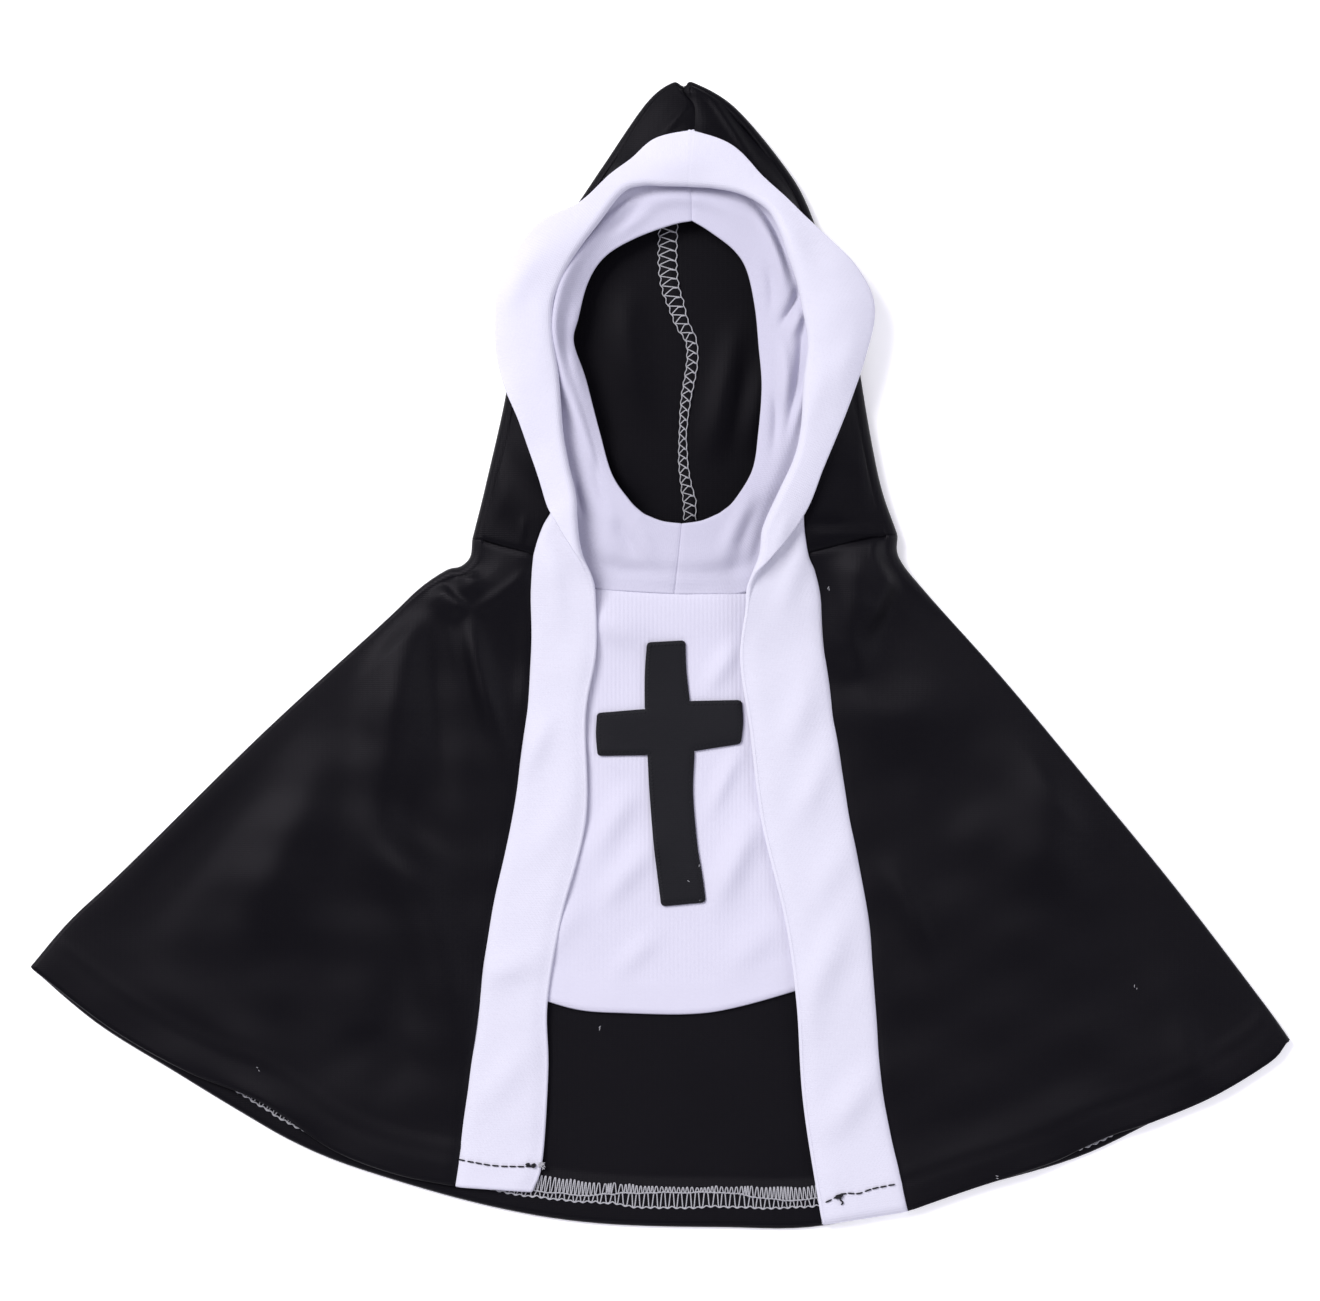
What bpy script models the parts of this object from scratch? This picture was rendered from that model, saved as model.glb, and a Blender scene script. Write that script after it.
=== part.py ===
"""Pet nun costume, lying flat on its back with the face opening up.

A black half-circle cape folded at both sides, a black hood of two halves, a
white band round the whole front opening, a white ring round the face, a white
bib below it and a black cross sewn on the bib.

Every cloth piece is a closed wall of its own thickness, made from sections in
millimetres. X runs across the garment, Y from the hem to the peak, Z up.
"""

from collections import namedtuple
from math import pi

import bpy
import numpy as np
from mathutils import Matrix

MM = 0.001

# Cloth thicknesses, in millimetres
BLACK_WALL = 1.2
BAND_WALL = 1.6
COIF_WALL = 1.0
BIB_WALL = 1.0
CROSS_WALL = 1.0

# Spaces between pieces that touch
GAP = 0.3
HOOD_EDGE_GAP = 0.6

# Height of the middle of the back's cloth above the floor
BACK_HEIGHT = BLACK_WALL / 2

# Half the height of the cape's side folds, wider at the neck and at the tips
CAPE_SIDE_RADIUS = (BLACK_WALL + GAP) / 2
CAPE_NECK_RADIUS = 2.6
NECK_FADE = 6.0

# The back's hem is turned up, which thickens the last rows of its wall
HEM_RISE = 0.6
HEM_START = 0.9
HEM_FADE = 12.0

# Rise of the hood's front over a straight line from its fold to the band
HOOD_BULGE = 0.88

# Share of the way to the ring's crest that stays low, under the band
COIF_UNDER_SHARE = 0.62

# The white band's roll: half its arc, its radius, the cloth that it takes up,
# and the latest shares of the cloth's width where it may start and end
ROLL_HALF_ARC = 2.2
ROLL_RADIUS = 2 * ROLL_HALF_ARC / pi
ROLL_ALLOWANCE = ROLL_HALF_ARC - ROLL_RADIUS
ROLL_LATEST_START = 0.72
ROLL_LATEST_END = 0.88

# The flap arches more the wider it is
FLAP_ARCH_PER_MM = np.radians(2.4)

# How finely each piece is divided
CAPE_ROWS = 22
CAPE_FRONT_COLUMNS = 12
CAPE_BACK_COLUMNS = 14
ROW_CROWDING = 1.2
HOOD_ROWS = 24
HOOD_BACK_COLUMNS = 5
HOOD_FRONT_COLUMNS = 8
ARC_STEPS = 4
BAND_ROWS_PER_SECTION = 2
BAND_REACH_COLUMNS = 2
BAND_ROLL_COLUMNS = 3
BAND_FLAP_COLUMNS = 3
CURVE_STEPS = 120
COIF_ROWS_PER_SECTION = 2
BIB_ROWS = 14
BIB_COLUMNS = 10

BLACK = (0.010, 0.010, 0.013)
WHITE = (0.80, 0.79, 0.88)
CROSS_BLACK = (0.011, 0.011, 0.013)

# Height of the seam along the band, by its distance up the garment
SEAM_HEIGHTS = {
    "up": (-175, -155, -145, -60, -20, 0, 17, 30, 44, 68, 90, 105, 125, 147),
    "height": (3.1, 3.1, 2.5, 2.5, 3.2, 4.2, 6.0, 8.0, 9.2, 10.0, 10.4, 10.6, 10.4, 9.2),
}

# Height of the bib, which lifts from the cape's back towards the neck
BIB_HEIGHTS = {
    "up": (-110, -40, -20, 0, 17),
    "height": (2.0, 2.0, 2.4, 3.4, 5.0),
}

# Side folds of the hood: half the height of the fold, from the peak to the neck
HOOD_SIDE = {
    "share": (0.0, 0.15, 0.35, 0.6, 1.0),
    "radius": (1.0, 1.5, 2.2, 2.6, 2.6),
}

# Sections of the white band from the crown to the hem. The heading is the way
# from the seam towards the opening, in degrees from +X. The reach is the cloth
# from the seam to the roll and the flap is what is turned back beyond it, below
# zero where the roll has run off the free edge. The lift is the rise on the way
# to the roll.
Band = namedtuple("Band", "seam_x seam_y heading reach flap lift")

LEFT_BAND = [
    Band(8.6, 146.4, -93, 7.0, 16.0, 1.0),
    Band(0.1, 145.4, -81, 6.0, 13.3, 1.0),
    Band(-6.9, 143.9, -69, 4.8, 7.2, 1.2),
    Band(-13.4, 140.7, -54, 4.2, 4.8, 1.2),
    Band(-21.6, 131.9, -45, 5.0, 6.8, 1.2),
    Band(-28.3, 124.3, -30, 5.5, 13.2, 1.0),
    Band(-33.5, 116.9, -18, 6.0, 15.2, 1.0),
    Band(-37.2, 107.8, -8, 6.0, 16.3, 1.0),
    Band(-38.0, 100.5, 0, 6.0, 16.1, 1.0),
    Band(-37.5, 92.0, 5, 6.0, 16.5, 1.0),
    Band(-36.2, 83.3, 12, 6.0, 15.8, 1.0),
    Band(-35.7, 73.0, 18, 6.5, 12.3, 1.0),
    Band(-35.2, 63.6, 20, 7.0, 9.8, 1.5),
    Band(-33.8, 54.2, 22, 7.5, 8.3, 2.0),
    Band(-31.8, 44.8, 20, 8.0, 7.6, 3.0),
    Band(-35.1, 37.8, 6, 11.2, 4.0, 3.0),
    Band(-37.7, 29.6, 1, 15.0, 0.0, 3.0),
    Band(-38.6, 18.0, -2, 20.4, -3.0, 2.8),
    Band(-38.5, 0.0, 0, 20.4, -3.0, 2.6),
    Band(-40.2, -20.0, 3, 19.0, -3.0, 2.4),
    Band(-44.4, -50.0, 0, 23.2, -3.0, 2.4),
    Band(-50.6, -79.0, -2, 22.0, -3.0, 2.4),
    Band(-54.2, -105.0, 0, 21.4, -3.0, 1.4),
    Band(-57.0, -125.0, 0, 24.4, -3.0, 0.4),
    Band(-61.5, -160.4, -4, 26.2, -3.0, 0.2),
]

RIGHT_BAND = [
    Band(8.9, 146.4, -93, 7.0, 16.0, 1.0),
    Band(18.1, 144.4, -111, 6.0, 12.8, 1.0),
    Band(27.4, 140.3, -135, 4.8, 6.6, 1.2),
    Band(34.9, 134.6, -153, 4.2, 5.2, 1.2),
    Band(39.6, 128.6, -157, 5.0, 7.4, 1.2),
    Band(43.1, 120.5, -161, 5.5, 12.6, 1.0),
    Band(46.4, 112.2, -169, 6.0, 18.2, 1.0),
    Band(48.2, 103.5, -180, 6.0, 21.2, 1.0),
    Band(49.7, 91.6, -193, 6.0, 16.8, 1.0),
    Band(48.3, 79.4, -198, 6.0, 13.9, 1.0),
    Band(47.9, 65.7, -200, 6.5, 9.4, 1.0),
    Band(46.5, 55.7, -202, 7.5, 7.6, 1.5),
    Band(42.9, 44.1, -205, 9.3, 8.4, 2.5),
    Band(43.9, 30.6, -208, 15.6, 6.3, 3.0),
    Band(46.1, 24.6, -195, 17.8, 1.5, 3.0),
    Band(48.0, 16.0, -178, 23.6, -3.0, 2.8),
    Band(49.3, 0.0, -176, 26.6, -3.0, 2.6),
    Band(52.3, -22.0, -177, 26.6, -3.0, 2.4),
    Band(56.8, -50.0, -178, 27.5, -3.0, 2.4),
    Band(62.2, -79.0, -178, 26.0, -3.0, 2.4),
    Band(64.4, -105.0, -180, 24.6, -3.0, 1.4),
    Band(67.0, -134.0, -178, 25.2, -3.0, 0.4),
    Band(74.3, -167.3, -171, 27.1, -3.0, 0.2),
]

LEFT_NECK_SECTION = 16
RIGHT_NECK_SECTION = 13

# Outlines of the hood from the peak to the neck, in plan
HOOD_BACK_SEAM = [(7.0, 166.0), (5.0, 146), (2.3, 127.5), (2.3, 114.3), (8.8, 94.0),
                  (8.3, 79.8), (6.8, 62), (8.9, 46.0), (8.3, 34.9)]
HOOD_TOP_SEAM = [(7.0, 166.4), (7.2, 158.0), (8.7, 147.2)]
HOOD_LEFT_SIDE = [(6.8, 170.4), (3.4, 171.4), (-4.5, 165.0), (-17.6, 145.9), (-26.8, 132.4),
                  (-38.6, 117.5), (-45.8, 102.5), (-46.9, 90.0), (-46.3, 79.0), (-52.5, 50.7),
                  (-56.5, 34.6)]
HOOD_RIGHT_SIDE = [(7.3, 170.4), (10.3, 171.4), (23.2, 163.3), (40.2, 142.2), (48.2, 125.0),
                   (55.2, 112.0), (59.4, 98.0), (59.9, 85.5), (65.6, 53.1), (71.2, 36.2)]

# Outlines of the cape, in plan
CAPE_LEFT_SIDE = [(-56.6, 34.0), (-57.2, 29.0), (-60.0, 26.2), (-64.4, 25.0), (-72.6, 19.4),
                  (-83.6, 9.0), (-119.8, -24.2), (-160.3, -64.1), (-177.4, -80.2),
                  (-189.2, -94.0)]
CAPE_RIGHT_SIDE = [(71.3, 35.4), (71.9, 28.5), (80.3, 17.8), (103.2, -7.8), (129.6, -39.5),
                   (155.1, -70.7), (180.5, -103.9), (189.2, -116.0)]
CAPE_BACK_NECK = [(-56.6, 34.0), (71.3, 35.4)]
CAPE_BACK_HEM = [(-189.2, -94.0), (-169.4, -110.4), (-146.6, -124.6), (-128.0, -136.0), (-109.4, -146.6),
                 (-88.8, -154.8), (-52.6, -165.2), (-20.3, -170.6), (18.7, -171.9),
                 (50.2, -171.2), (90.0, -160.9), (124.4, -151.1), (149.2, -139.5),
                 (177.1, -125.6), (189.2, -116.0)]
CAPE_LEFT_HEM = [(-61.9, -160.2), (-79.5, -156.2), (-99.1, -148.5), (-119.8, -134.4),
                 (-141.5, -125.5), (-165.0, -112.4), (-189.2, -94.0)]
CAPE_RIGHT_HEM = [(74.6, -167.4), (93.5, -160.6), (124.3, -150.6), (149.0, -139.9),
                  (166.6, -132.4), (184.1, -121.8), (189.2, -116.0)]
CAPE_LEFT_NECK = [(-38.0, 29.8), (-56.6, 34.0)]
CAPE_RIGHT_NECK = [(43.9, 30.6), (71.3, 35.4)]

# Each front of the cape lies between a side fold and the band below the neck
Front = namedtuple("Front", "side_line hem neck band neck_section turn")

LEFT_FRONT = Front(CAPE_LEFT_SIDE, CAPE_LEFT_HEM, CAPE_LEFT_NECK, LEFT_BAND,
                   LEFT_NECK_SECTION, -1)
RIGHT_FRONT = Front(CAPE_RIGHT_SIDE, CAPE_RIGHT_HEM, CAPE_RIGHT_NECK, RIGHT_BAND,
                    RIGHT_NECK_SECTION, 1)

# Folds of the cape's fronts: soft ridges, or troughs where the height is below
# zero, along a straight line in plan
Fold = namedtuple("Fold", "start_x start_y end_x end_y width height")

CAPE_FOLDS = [
    Fold(-47.0, 30.0, -52.0, 20.0, 9.0, 4.5),
    Fold(-62.0, 20.0, -84.0, -20.0, 7.0, 2.2),
    Fold(-57.0, 8.0, -68.0, -60.0, 10.0, 3.2),
    Fold(-86.0, -30.0, -110.0, -100.0, 14.0, 2.4),
    Fold(-126.0, -50.0, -150.0, -100.0, 12.0, 1.2),
    Fold(56.0, 24.0, 60.0, -40.0, 8.0, 3.4),
    Fold(80.0, 6.0, 92.0, -70.0, 12.0, 2.4),
    Fold(112.0, -40.0, 140.0, -118.0, 14.0, 1.6),
]

# Sections of the face ring, from the top centre to the bottom centre: the inner
# edge at the face, the crest beside the band's roll, and the root under the band
Coif = namedtuple("Coif", "edge_x edge_y edge_z crest_x crest_y crest_z root_x root_y root_drop")

LEFT_COIF = [
    Coif(9.3, 129.8, 7.4, 9.1, 136.5, 8.0, 8.6, 144.8, 1.7),
    Coif(3.5, 128.6, 7.4, 1.8, 136.4, 8.2, 0.3, 144.0, 1.7),
    Coif(-7.3, 124.7, 7.4, -9.6, 133.6, 8.8, -12.4, 139.2, 1.7),
    Coif(-16.5, 119.2, 7.4, -20.5, 124.3, 9.8, -23.6, 128.2, 1.7),
    Coif(-21.7, 111.6, 7.2, -27.8, 112.4, 11.2, -34.0, 113.4, 1.7),
    Coif(-24.8, 100.6, 7.2, -30.4, 100.8, 11.6, -36.9, 100.6, 1.7),
    Coif(-26.2, 93.0, 7.2, -30.0, 92.0, 11.6, -36.4, 91.0, 1.7),
    Coif(-22.6, 82.0, 7.4, -27.2, 80.4, 11.2, -34.8, 79.0, 1.7),
    Coif(-18.6, 67.0, 7.8, -22.4, 66.0, 10.2, -33.8, 63.0, 1.7),
    Coif(-14.8, 53.8, 8.2, -19.6, 52.6, 9.4, -32.2, 50.0, 1.7),
    Coif(-9.5, 45.8, 8.6, -16.0, 41.0, 8.8, -33.4, 36.4, 1.8),
    Coif(-6.0, 42.3, 8.8, -15.0, 32.6, 7.8, -28.4, 23.6, 1.3),
    Coif(-3.6, 40.9, 8.8, -9.8, 29.6, 7.3, -19.4, 19.6, 1.2),
    Coif(0.8, 39.3, 8.8, -2.4, 28.6, 7.1, -7.0, 18.5, 1.2),
    Coif(6.2, 38.6, 8.8, 5.2, 28.2, 7.0, 4.0, 17.9, 1.2),
]

RIGHT_COIF = [
    Coif(9.7, 129.8, 7.4, 9.5, 136.5, 8.0, 9.0, 144.8, 1.7),
    Coif(14.8, 126.6, 7.4, 16.6, 135.8, 8.2, 17.6, 143.2, 1.7),
    Coif(22.2, 120.9, 7.4, 28.8, 130.6, 9.0, 33.4, 134.2, 1.7),
    Coif(26.2, 114.5, 7.2, 34.8, 118.2, 9.6, 41.2, 120.6, 1.7),
    Coif(28.6, 103.4, 7.2, 39.2, 103.4, 9.8, 46.6, 103.4, 1.7),
    Coif(29.7, 92.0, 7.4, 40.8, 92.2, 9.6, 47.8, 91.9, 1.7),
    Coif(30.6, 80.0, 7.6, 39.6, 80.0, 9.4, 46.6, 80.0, 1.7),
    Coif(29.6, 66.2, 7.8, 38.8, 66.6, 9.0, 46.2, 66.4, 1.7),
    Coif(27.8, 54.9, 8.2, 34.8, 54.4, 8.8, 44.6, 53.4, 1.7),
    Coif(22.6, 46.0, 8.6, 28.4, 40.8, 8.4, 41.4, 36.4, 1.8),
    Coif(19.0, 42.6, 8.8, 24.0, 32.2, 7.6, 33.0, 22.4, 1.3),
    Coif(16.2, 41.0, 8.8, 19.4, 29.6, 7.2, 24.6, 18.2, 1.2),
    Coif(12.0, 39.4, 8.8, 13.4, 28.4, 7.1, 15.4, 17.9, 1.2),
    Coif(6.6, 38.6, 8.8, 5.6, 28.2, 7.0, 4.4, 17.8, 1.2),
]

# The bib, in plan: its top edge, its sides and its curved lower edge
BIB_TOP = [(-28.0, 19.2), (-19.4, 18.8), (-7.0, 17.9), (4.2, 17.3), (15.4, 17.2), (33.0, 17.4)]
BIB_LEFT = [(-28.0, 19.2), (-27.5, -15.0), (-31.0, -55.0), (-41.0, -102.0)]
BIB_RIGHT = [(33.0, 17.4), (33.0, -12.0), (39.0, -55.0), (48.0, -99.0)]
BIB_BOTTOM = [(-41.0, -102.0), (-25.2, -106.7), (-10.6, -107.8), (8.9, -108.1),
              (23.6, -105.9), (48.0, -99.0)]

# The cross: its stem from top to bottom, and the outer ends of its arms, which
# start at the two sections of the stem that have the same height
Stem = namedtuple("Stem", "left_x left_y right_x right_y")

CROSS_STEM = [
    Stem(-3.8, 3.0, 7.3, 3.6),
    Stem(-4.4, -6.0, 7.6, -5.4),
    Stem(-4.4, -17.0, 8.6, -14.6),
    Stem(-3.9, -23.6, 9.2, -22.0),
    Stem(-3.6, -30.4, 10.0, -29.2),
    Stem(-3.0, -42.0, 9.6, -42.0),
    Stem(-1.8, -57.0, 10.8, -57.0),
    Stem(-0.6, -67.0, 12.4, -67.0),
    Stem(0.5, -75.8, 13.4, -74.6),
]
CROSS_ARM_SECTIONS = (2, 3, 4)
CROSS_LEFT_ARM = [(-18.8, -18.2), (-19.6, -24.6), (-18.6, -30.6)]
CROSS_RIGHT_ARM = [(24.2, -14.3), (25.1, -20.7), (24.0, -27.0)]


# Curves

def smooth_rows(rows, per_span):
    """Rows in between those given, on a curve through all of them."""
    rows = np.array(rows, dtype=float)
    first = 2 * rows[0] - rows[1]
    last = 2 * rows[-1] - rows[-2]
    padded = np.vstack([first, rows, last])
    t = (np.arange(per_span) / per_span)[:, None]
    spans = []
    for before, start, end, after in zip(padded, padded[1:], padded[2:], padded[3:]):
        linear = end - before
        square = 2 * before - 5 * start + 4 * end - after
        cube = 3 * start - before - 3 * end + after
        spans.append(start + (linear * t + square * t ** 2 + cube * t ** 3) / 2)
    return np.vstack(spans + [rows[-1:]])


def along(points, shares):
    """Points at the given shares of the length of a smooth curve."""
    return spaced(smooth_rows(points, 12), shares)


def spaced(curve, shares):
    """Points at the given shares of the length of a line of points."""
    lengths = np.linalg.norm(np.diff(curve, axis=0), axis=1)
    travelled = np.concatenate([[0.0], np.cumsum(lengths)])
    wanted = np.asarray(shares) * travelled[-1]
    columns = [np.interp(wanted, travelled, curve[:, axis]) for axis in range(curve.shape[1])]
    return np.stack(columns, axis=-1)


def outward_in_plan(points, turn):
    """Unit vectors square to a line in plan; turn is +1 for its left side."""
    tangent = np.gradient(points, axis=0)
    tangent /= np.linalg.norm(tangent, axis=1, keepdims=True)
    return turn * np.stack([-tangent[:, 1], tangent[:, 0]], axis=1)


def patch(start_side, end_side, first_edge, last_edge, rows, columns):
    """Plan points between four outlines that meet at their corners."""
    v = np.linspace(0, 1, rows + 1) ** ROW_CROWDING
    u = np.linspace(0, 1, columns + 1)
    start = along(start_side, v)[:, None, :]
    end = along(end_side, v)[:, None, :]
    first = along(first_edge, u)[None, :, :]
    last = along(last_edge, u)[None, :, :]
    u = u[None, :, None]
    v = v[:, None, None]
    across = (1 - u) * start + u * end
    down = (1 - v) * first + v * last
    corners = ((1 - u) * (1 - v) * start[:1] + u * (1 - v) * end[:1]
               + (1 - u) * v * start[-1:] + u * v * end[-1:])
    return across + down - corners


def seam_height(up):
    """Height of the seam along the band."""
    return np.interp(up, SEAM_HEIGHTS["up"], SEAM_HEIGHTS["height"])


def bib_height(up):
    """Height of the middle of the bib's cloth."""
    return np.interp(up, BIB_HEIGHTS["up"], BIB_HEIGHTS["height"])


def ease(share):
    """A smooth step from 0 to 1."""
    share = np.clip(share, 0, 1)
    return share * share * (3 - 2 * share)


def fold_height(plan, folds):
    """Height that the soft folds add at each plan point."""
    total = np.zeros(plan.shape[:-1])
    for fold in folds:
        start = np.array([fold.start_x, fold.start_y])
        run = np.array([fold.end_x, fold.end_y]) - start
        share = ((plan - start) @ run) / (run @ run)
        nearest = start + np.clip(share, 0, 1)[..., None] * run
        away = np.linalg.norm(plan - nearest, axis=-1) / fold.width
        total += fold.height * np.exp(-away ** 2)
    return total


# Walls

def grid_normals(points):
    """Unit normals of a grid of points, from its rows and columns."""
    along_rows = np.gradient(points, axis=0)
    along_columns = np.gradient(points, axis=1)
    normals = np.cross(along_rows, along_columns)
    return normals / np.linalg.norm(normals, axis=2, keepdims=True)


def grid_faces(rows, columns, offset, flip):
    """Triangles of one side of a wall."""
    faces = []
    for row in range(rows - 1):
        for column in range(columns - 1):
            a = offset + row * columns + column
            b = a + 1
            c = a + columns + 1
            d = a + columns
            pair = [(a, b, c), (a, c, d)]
            faces += [face[::-1] for face in pair] if flip else pair
    return faces


def rim_faces(rows, columns, offset):
    """Triangles that join the rims of a wall's two sides."""
    loop = list(range(columns))
    loop += [row * columns + columns - 1 for row in range(1, rows)]
    loop += [(rows - 1) * columns + column for column in range(columns - 2, -1, -1)]
    loop += [row * columns for row in range(rows - 2, 0, -1)]
    faces = []
    for here, there in zip(loop, loop[1:] + loop[:1]):
        faces.append((there, here, here + offset))
        faces.append((there, here + offset, there + offset))
    return faces


def volume(vertices, faces):
    """Signed volume of a closed mesh, above zero where its faces point out."""
    corners = vertices[np.array(faces)]
    return np.einsum("ij,ij->", corners[:, 0], np.cross(corners[:, 1], corners[:, 2])) / 6


def cloth_object(name, vertices, faces, material):
    """A named object whose triangles all face out."""
    if volume(vertices, faces) < 0:
        faces = [face[::-1] for face in faces]
    mesh = bpy.data.meshes.new(name)
    mesh.from_pydata((vertices * MM).tolist(), [], faces)
    mesh.update()
    mesh.materials.append(material)
    mesh.shade_smooth()
    piece = bpy.data.objects.new(name, mesh)
    bpy.context.scene.collection.objects.link(piece)
    return piece


def wall(name, one_side, other_side, material):
    """A closed wall between two grids of points."""
    rows, columns = one_side.shape[:2]
    count = rows * columns
    vertices = np.vstack([one_side.reshape(-1, 3), other_side.reshape(-1, 3)])
    faces = grid_faces(rows, columns, 0, False)
    faces += grid_faces(rows, columns, count, True)
    faces += rim_faces(rows, columns, count)
    return cloth_object(name, vertices, faces, material)


def cloth_material(name, colour, roughness):
    """A matt cloth of one colour."""
    material = bpy.data.materials.new(name)
    material.use_nodes = True
    shader = material.node_tree.nodes["Principled BSDF"]
    shader.inputs["Base Color"].default_value = (*colour, 1)
    shader.inputs["Roughness"].default_value = roughness
    shader.inputs["Metallic"].default_value = 0
    return material


# Side folds

def side_arc(edge, outward, radius, to_front):
    """Points and normals round a side fold, between the back and the front."""
    angles = np.linspace(-pi / 2, pi / 2, ARC_STEPS + 1)
    if not to_front:
        angles = angles[::-1]
    centre = edge - (radius[:, None] + BLACK_WALL / 2) * outward
    points = np.zeros((len(edge), len(angles), 3))
    normals = np.zeros_like(points)
    normals[..., :2] = np.cos(angles)[None, :, None] * outward[:, None, :]
    normals[..., 2] = np.sin(angles)
    points[..., :2] = centre[:, None, :] + radius[:, None, None] * normals[..., :2]
    points[..., 2] = BACK_HEIGHT + radius[:, None] * (1 + np.sin(angles))
    return points, normals


# White band

def band_slopes(band, cloth, reach, flap):
    """Slope of a section at each distance along its cloth, a half turn at the roll."""
    turned = np.clip((cloth - reach + ROLL_HALF_ARC) / (2 * ROLL_HALF_ARC), 0, 1)
    beyond = np.clip((cloth - reach) / max(flap, ROLL_HALF_ARC), 0, 1)
    arch = FLAP_ARCH_PER_MM * max(flap, 0) * (beyond - 0.5) * turned
    return np.arcsin(band.lift / reach) + pi * turned + arch


def travelled(step, part):
    """Distance gone by each point, from the middle value of each step."""
    return np.concatenate([[0], np.cumsum(step * (part[1:] + part[:-1]) / 2)])


def band_section(band):
    """Middle points and normals of one section, from the seam to the free edge."""
    reach = band.reach + ROLL_ALLOWANCE - BAND_WALL / 2
    flap = band.flap + ROLL_ALLOWANCE + BAND_WALL / 2
    width = reach + flap
    start = min(reach - ROLL_HALF_ARC, ROLL_LATEST_START * width)
    end = min(reach + ROLL_HALF_ARC, ROLL_LATEST_END * width)
    stops = np.concatenate([np.linspace(0, start, BAND_REACH_COLUMNS + 1),
                            np.linspace(start, end, BAND_ROLL_COLUMNS + 1)[1:],
                            np.linspace(end, width, BAND_FLAP_COLUMNS + 1)[1:]])
    cloth = np.linspace(0, width, CURVE_STEPS + 1)
    slopes = band_slopes(band, cloth, reach, flap)
    step = np.diff(cloth)
    inward = np.interp(stops, cloth, travelled(step, np.cos(slopes)))
    height = np.interp(stops, cloth, travelled(step, np.sin(slopes)))
    slope = np.interp(stops, cloth, slopes)
    heading = np.radians(band.heading)
    way = np.array([np.cos(heading), np.sin(heading), 0])
    up = np.array([0, 0, 1.0])
    seam = np.array([band.seam_x, band.seam_y, seam_height(band.seam_y)])
    points = seam + inward[:, None] * way + height[:, None] * up
    normals = -np.sin(slope)[:, None] * way + np.cos(slope)[:, None] * up
    normals[0] = up
    return points, normals


def band_wall(name, table, material):
    """One side of the band, from the crown to the hem."""
    rows = [Band(*row) for row in smooth_rows(table, BAND_ROWS_PER_SECTION)]
    sections = [band_section(row) for row in rows]
    points = np.array([section[0] for section in sections])
    normals = np.array([section[1] for section in sections])
    half = BAND_WALL / 2 * normals
    return wall(name, points + half, points - half, material)


def seam_line(table, first, last, gap):
    """Plan points of the black cloth's edge along the band's seam."""
    rows = smooth_rows(table[first:last + 1], 8)
    heading = np.radians(rows[:, 2])
    way = np.stack([np.cos(heading), np.sin(heading)], axis=1)
    return rows[:, :2] - gap * way


# Hood

def hood_front_line(table, neck_section, shift, shares):
    """Plan points down the front of a half: the top seam, then the band's seam."""
    top_seam = smooth_rows(HOOD_TOP_SEAM, 8) + shift
    band_seam = seam_line(table, 0, neck_section, HOOD_EDGE_GAP)[2:]
    line = spaced(np.vstack([top_seam, band_seam]), shares)
    line[-1, 1] += GAP
    return line


def hood_front_heights(line, start_height):
    """Heights down the front: from the peak to the crown, then the band's seam."""
    peak_up = HOOD_TOP_SEAM[0][1]
    crown_up = HOOD_TOP_SEAM[-1][1]
    share = np.clip((peak_up - line[:, 1]) / (peak_up - crown_up), 0, 1)
    on_top_seam = start_height[0] + (seam_height(crown_up) - start_height[0]) * share
    return np.where(line[:, 1] > crown_up, on_top_seam, seam_height(line[:, 1]))


def hood_half(name, side_line, table, neck_section, material, turn):
    """One half, from the centre back round the side fold to the front edge."""
    shares = np.linspace(0, 1, HOOD_ROWS + 1) ** ROW_CROWDING
    shift = np.array([-turn * GAP / 2, 0])
    radius = np.interp(shares, HOOD_SIDE["share"], HOOD_SIDE["radius"])
    side = along(side_line, shares)
    outward = outward_in_plan(side, -turn)
    outward[0] = (0, 1)
    outward[-1] = (-turn, 0)
    arc, arc_normals = side_arc(side, outward, radius, True)

    centre_back = along(HOOD_BACK_SEAM, shares) + shift
    u = np.linspace(0, 1, HOOD_BACK_COLUMNS + 1)[None, :-1, None]
    back = (1 - u) * centre_back[:, None, :] + u * arc[:, :1, :2]
    back = np.dstack([back, np.full(back.shape[:2], BACK_HEIGHT)])

    line = hood_front_line(table, neck_section, shift, shares)
    start_height = BACK_HEIGHT + 2 * radius
    rise = hood_front_heights(line, start_height) - start_height
    u = np.linspace(0, 1, HOOD_FRONT_COLUMNS + 1)[None, 1:]
    bulge = HOOD_BULGE * np.clip(rise, 0, None)[:, None] * u * (1 - u)
    plan = (1 - u[..., None]) * arc[:, -1:, :2] + u[..., None] * line[:, None, :]
    front = np.dstack([plan, start_height[:, None] + rise[:, None] * u + bulge])

    points = np.concatenate([back, arc, front], axis=1)
    normals = turn * grid_normals(points)
    first_arc = HOOD_BACK_COLUMNS
    last_arc = HOOD_BACK_COLUMNS + ARC_STEPS
    normals[:, :first_arc + 1] = (0, 0, -1)
    normals[:, first_arc:last_arc + 1] = arc_normals
    normals[:, -1] = (0, 0, 1)
    normals[0, last_arc + 1:] = (0, 0, 1)
    half = BLACK_WALL / 2 * normals
    return wall(name, points + half, points - half, material)


# Cape

def cape_side(front, radius, shares):
    """Points and normals round the fold at one side of the cape."""
    side = along(front.side_line, shares)
    outward = outward_in_plan(side, front.turn)
    outward[0] = (front.turn, 0)
    return side_arc(side, outward, radius, front.turn > 0)


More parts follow.
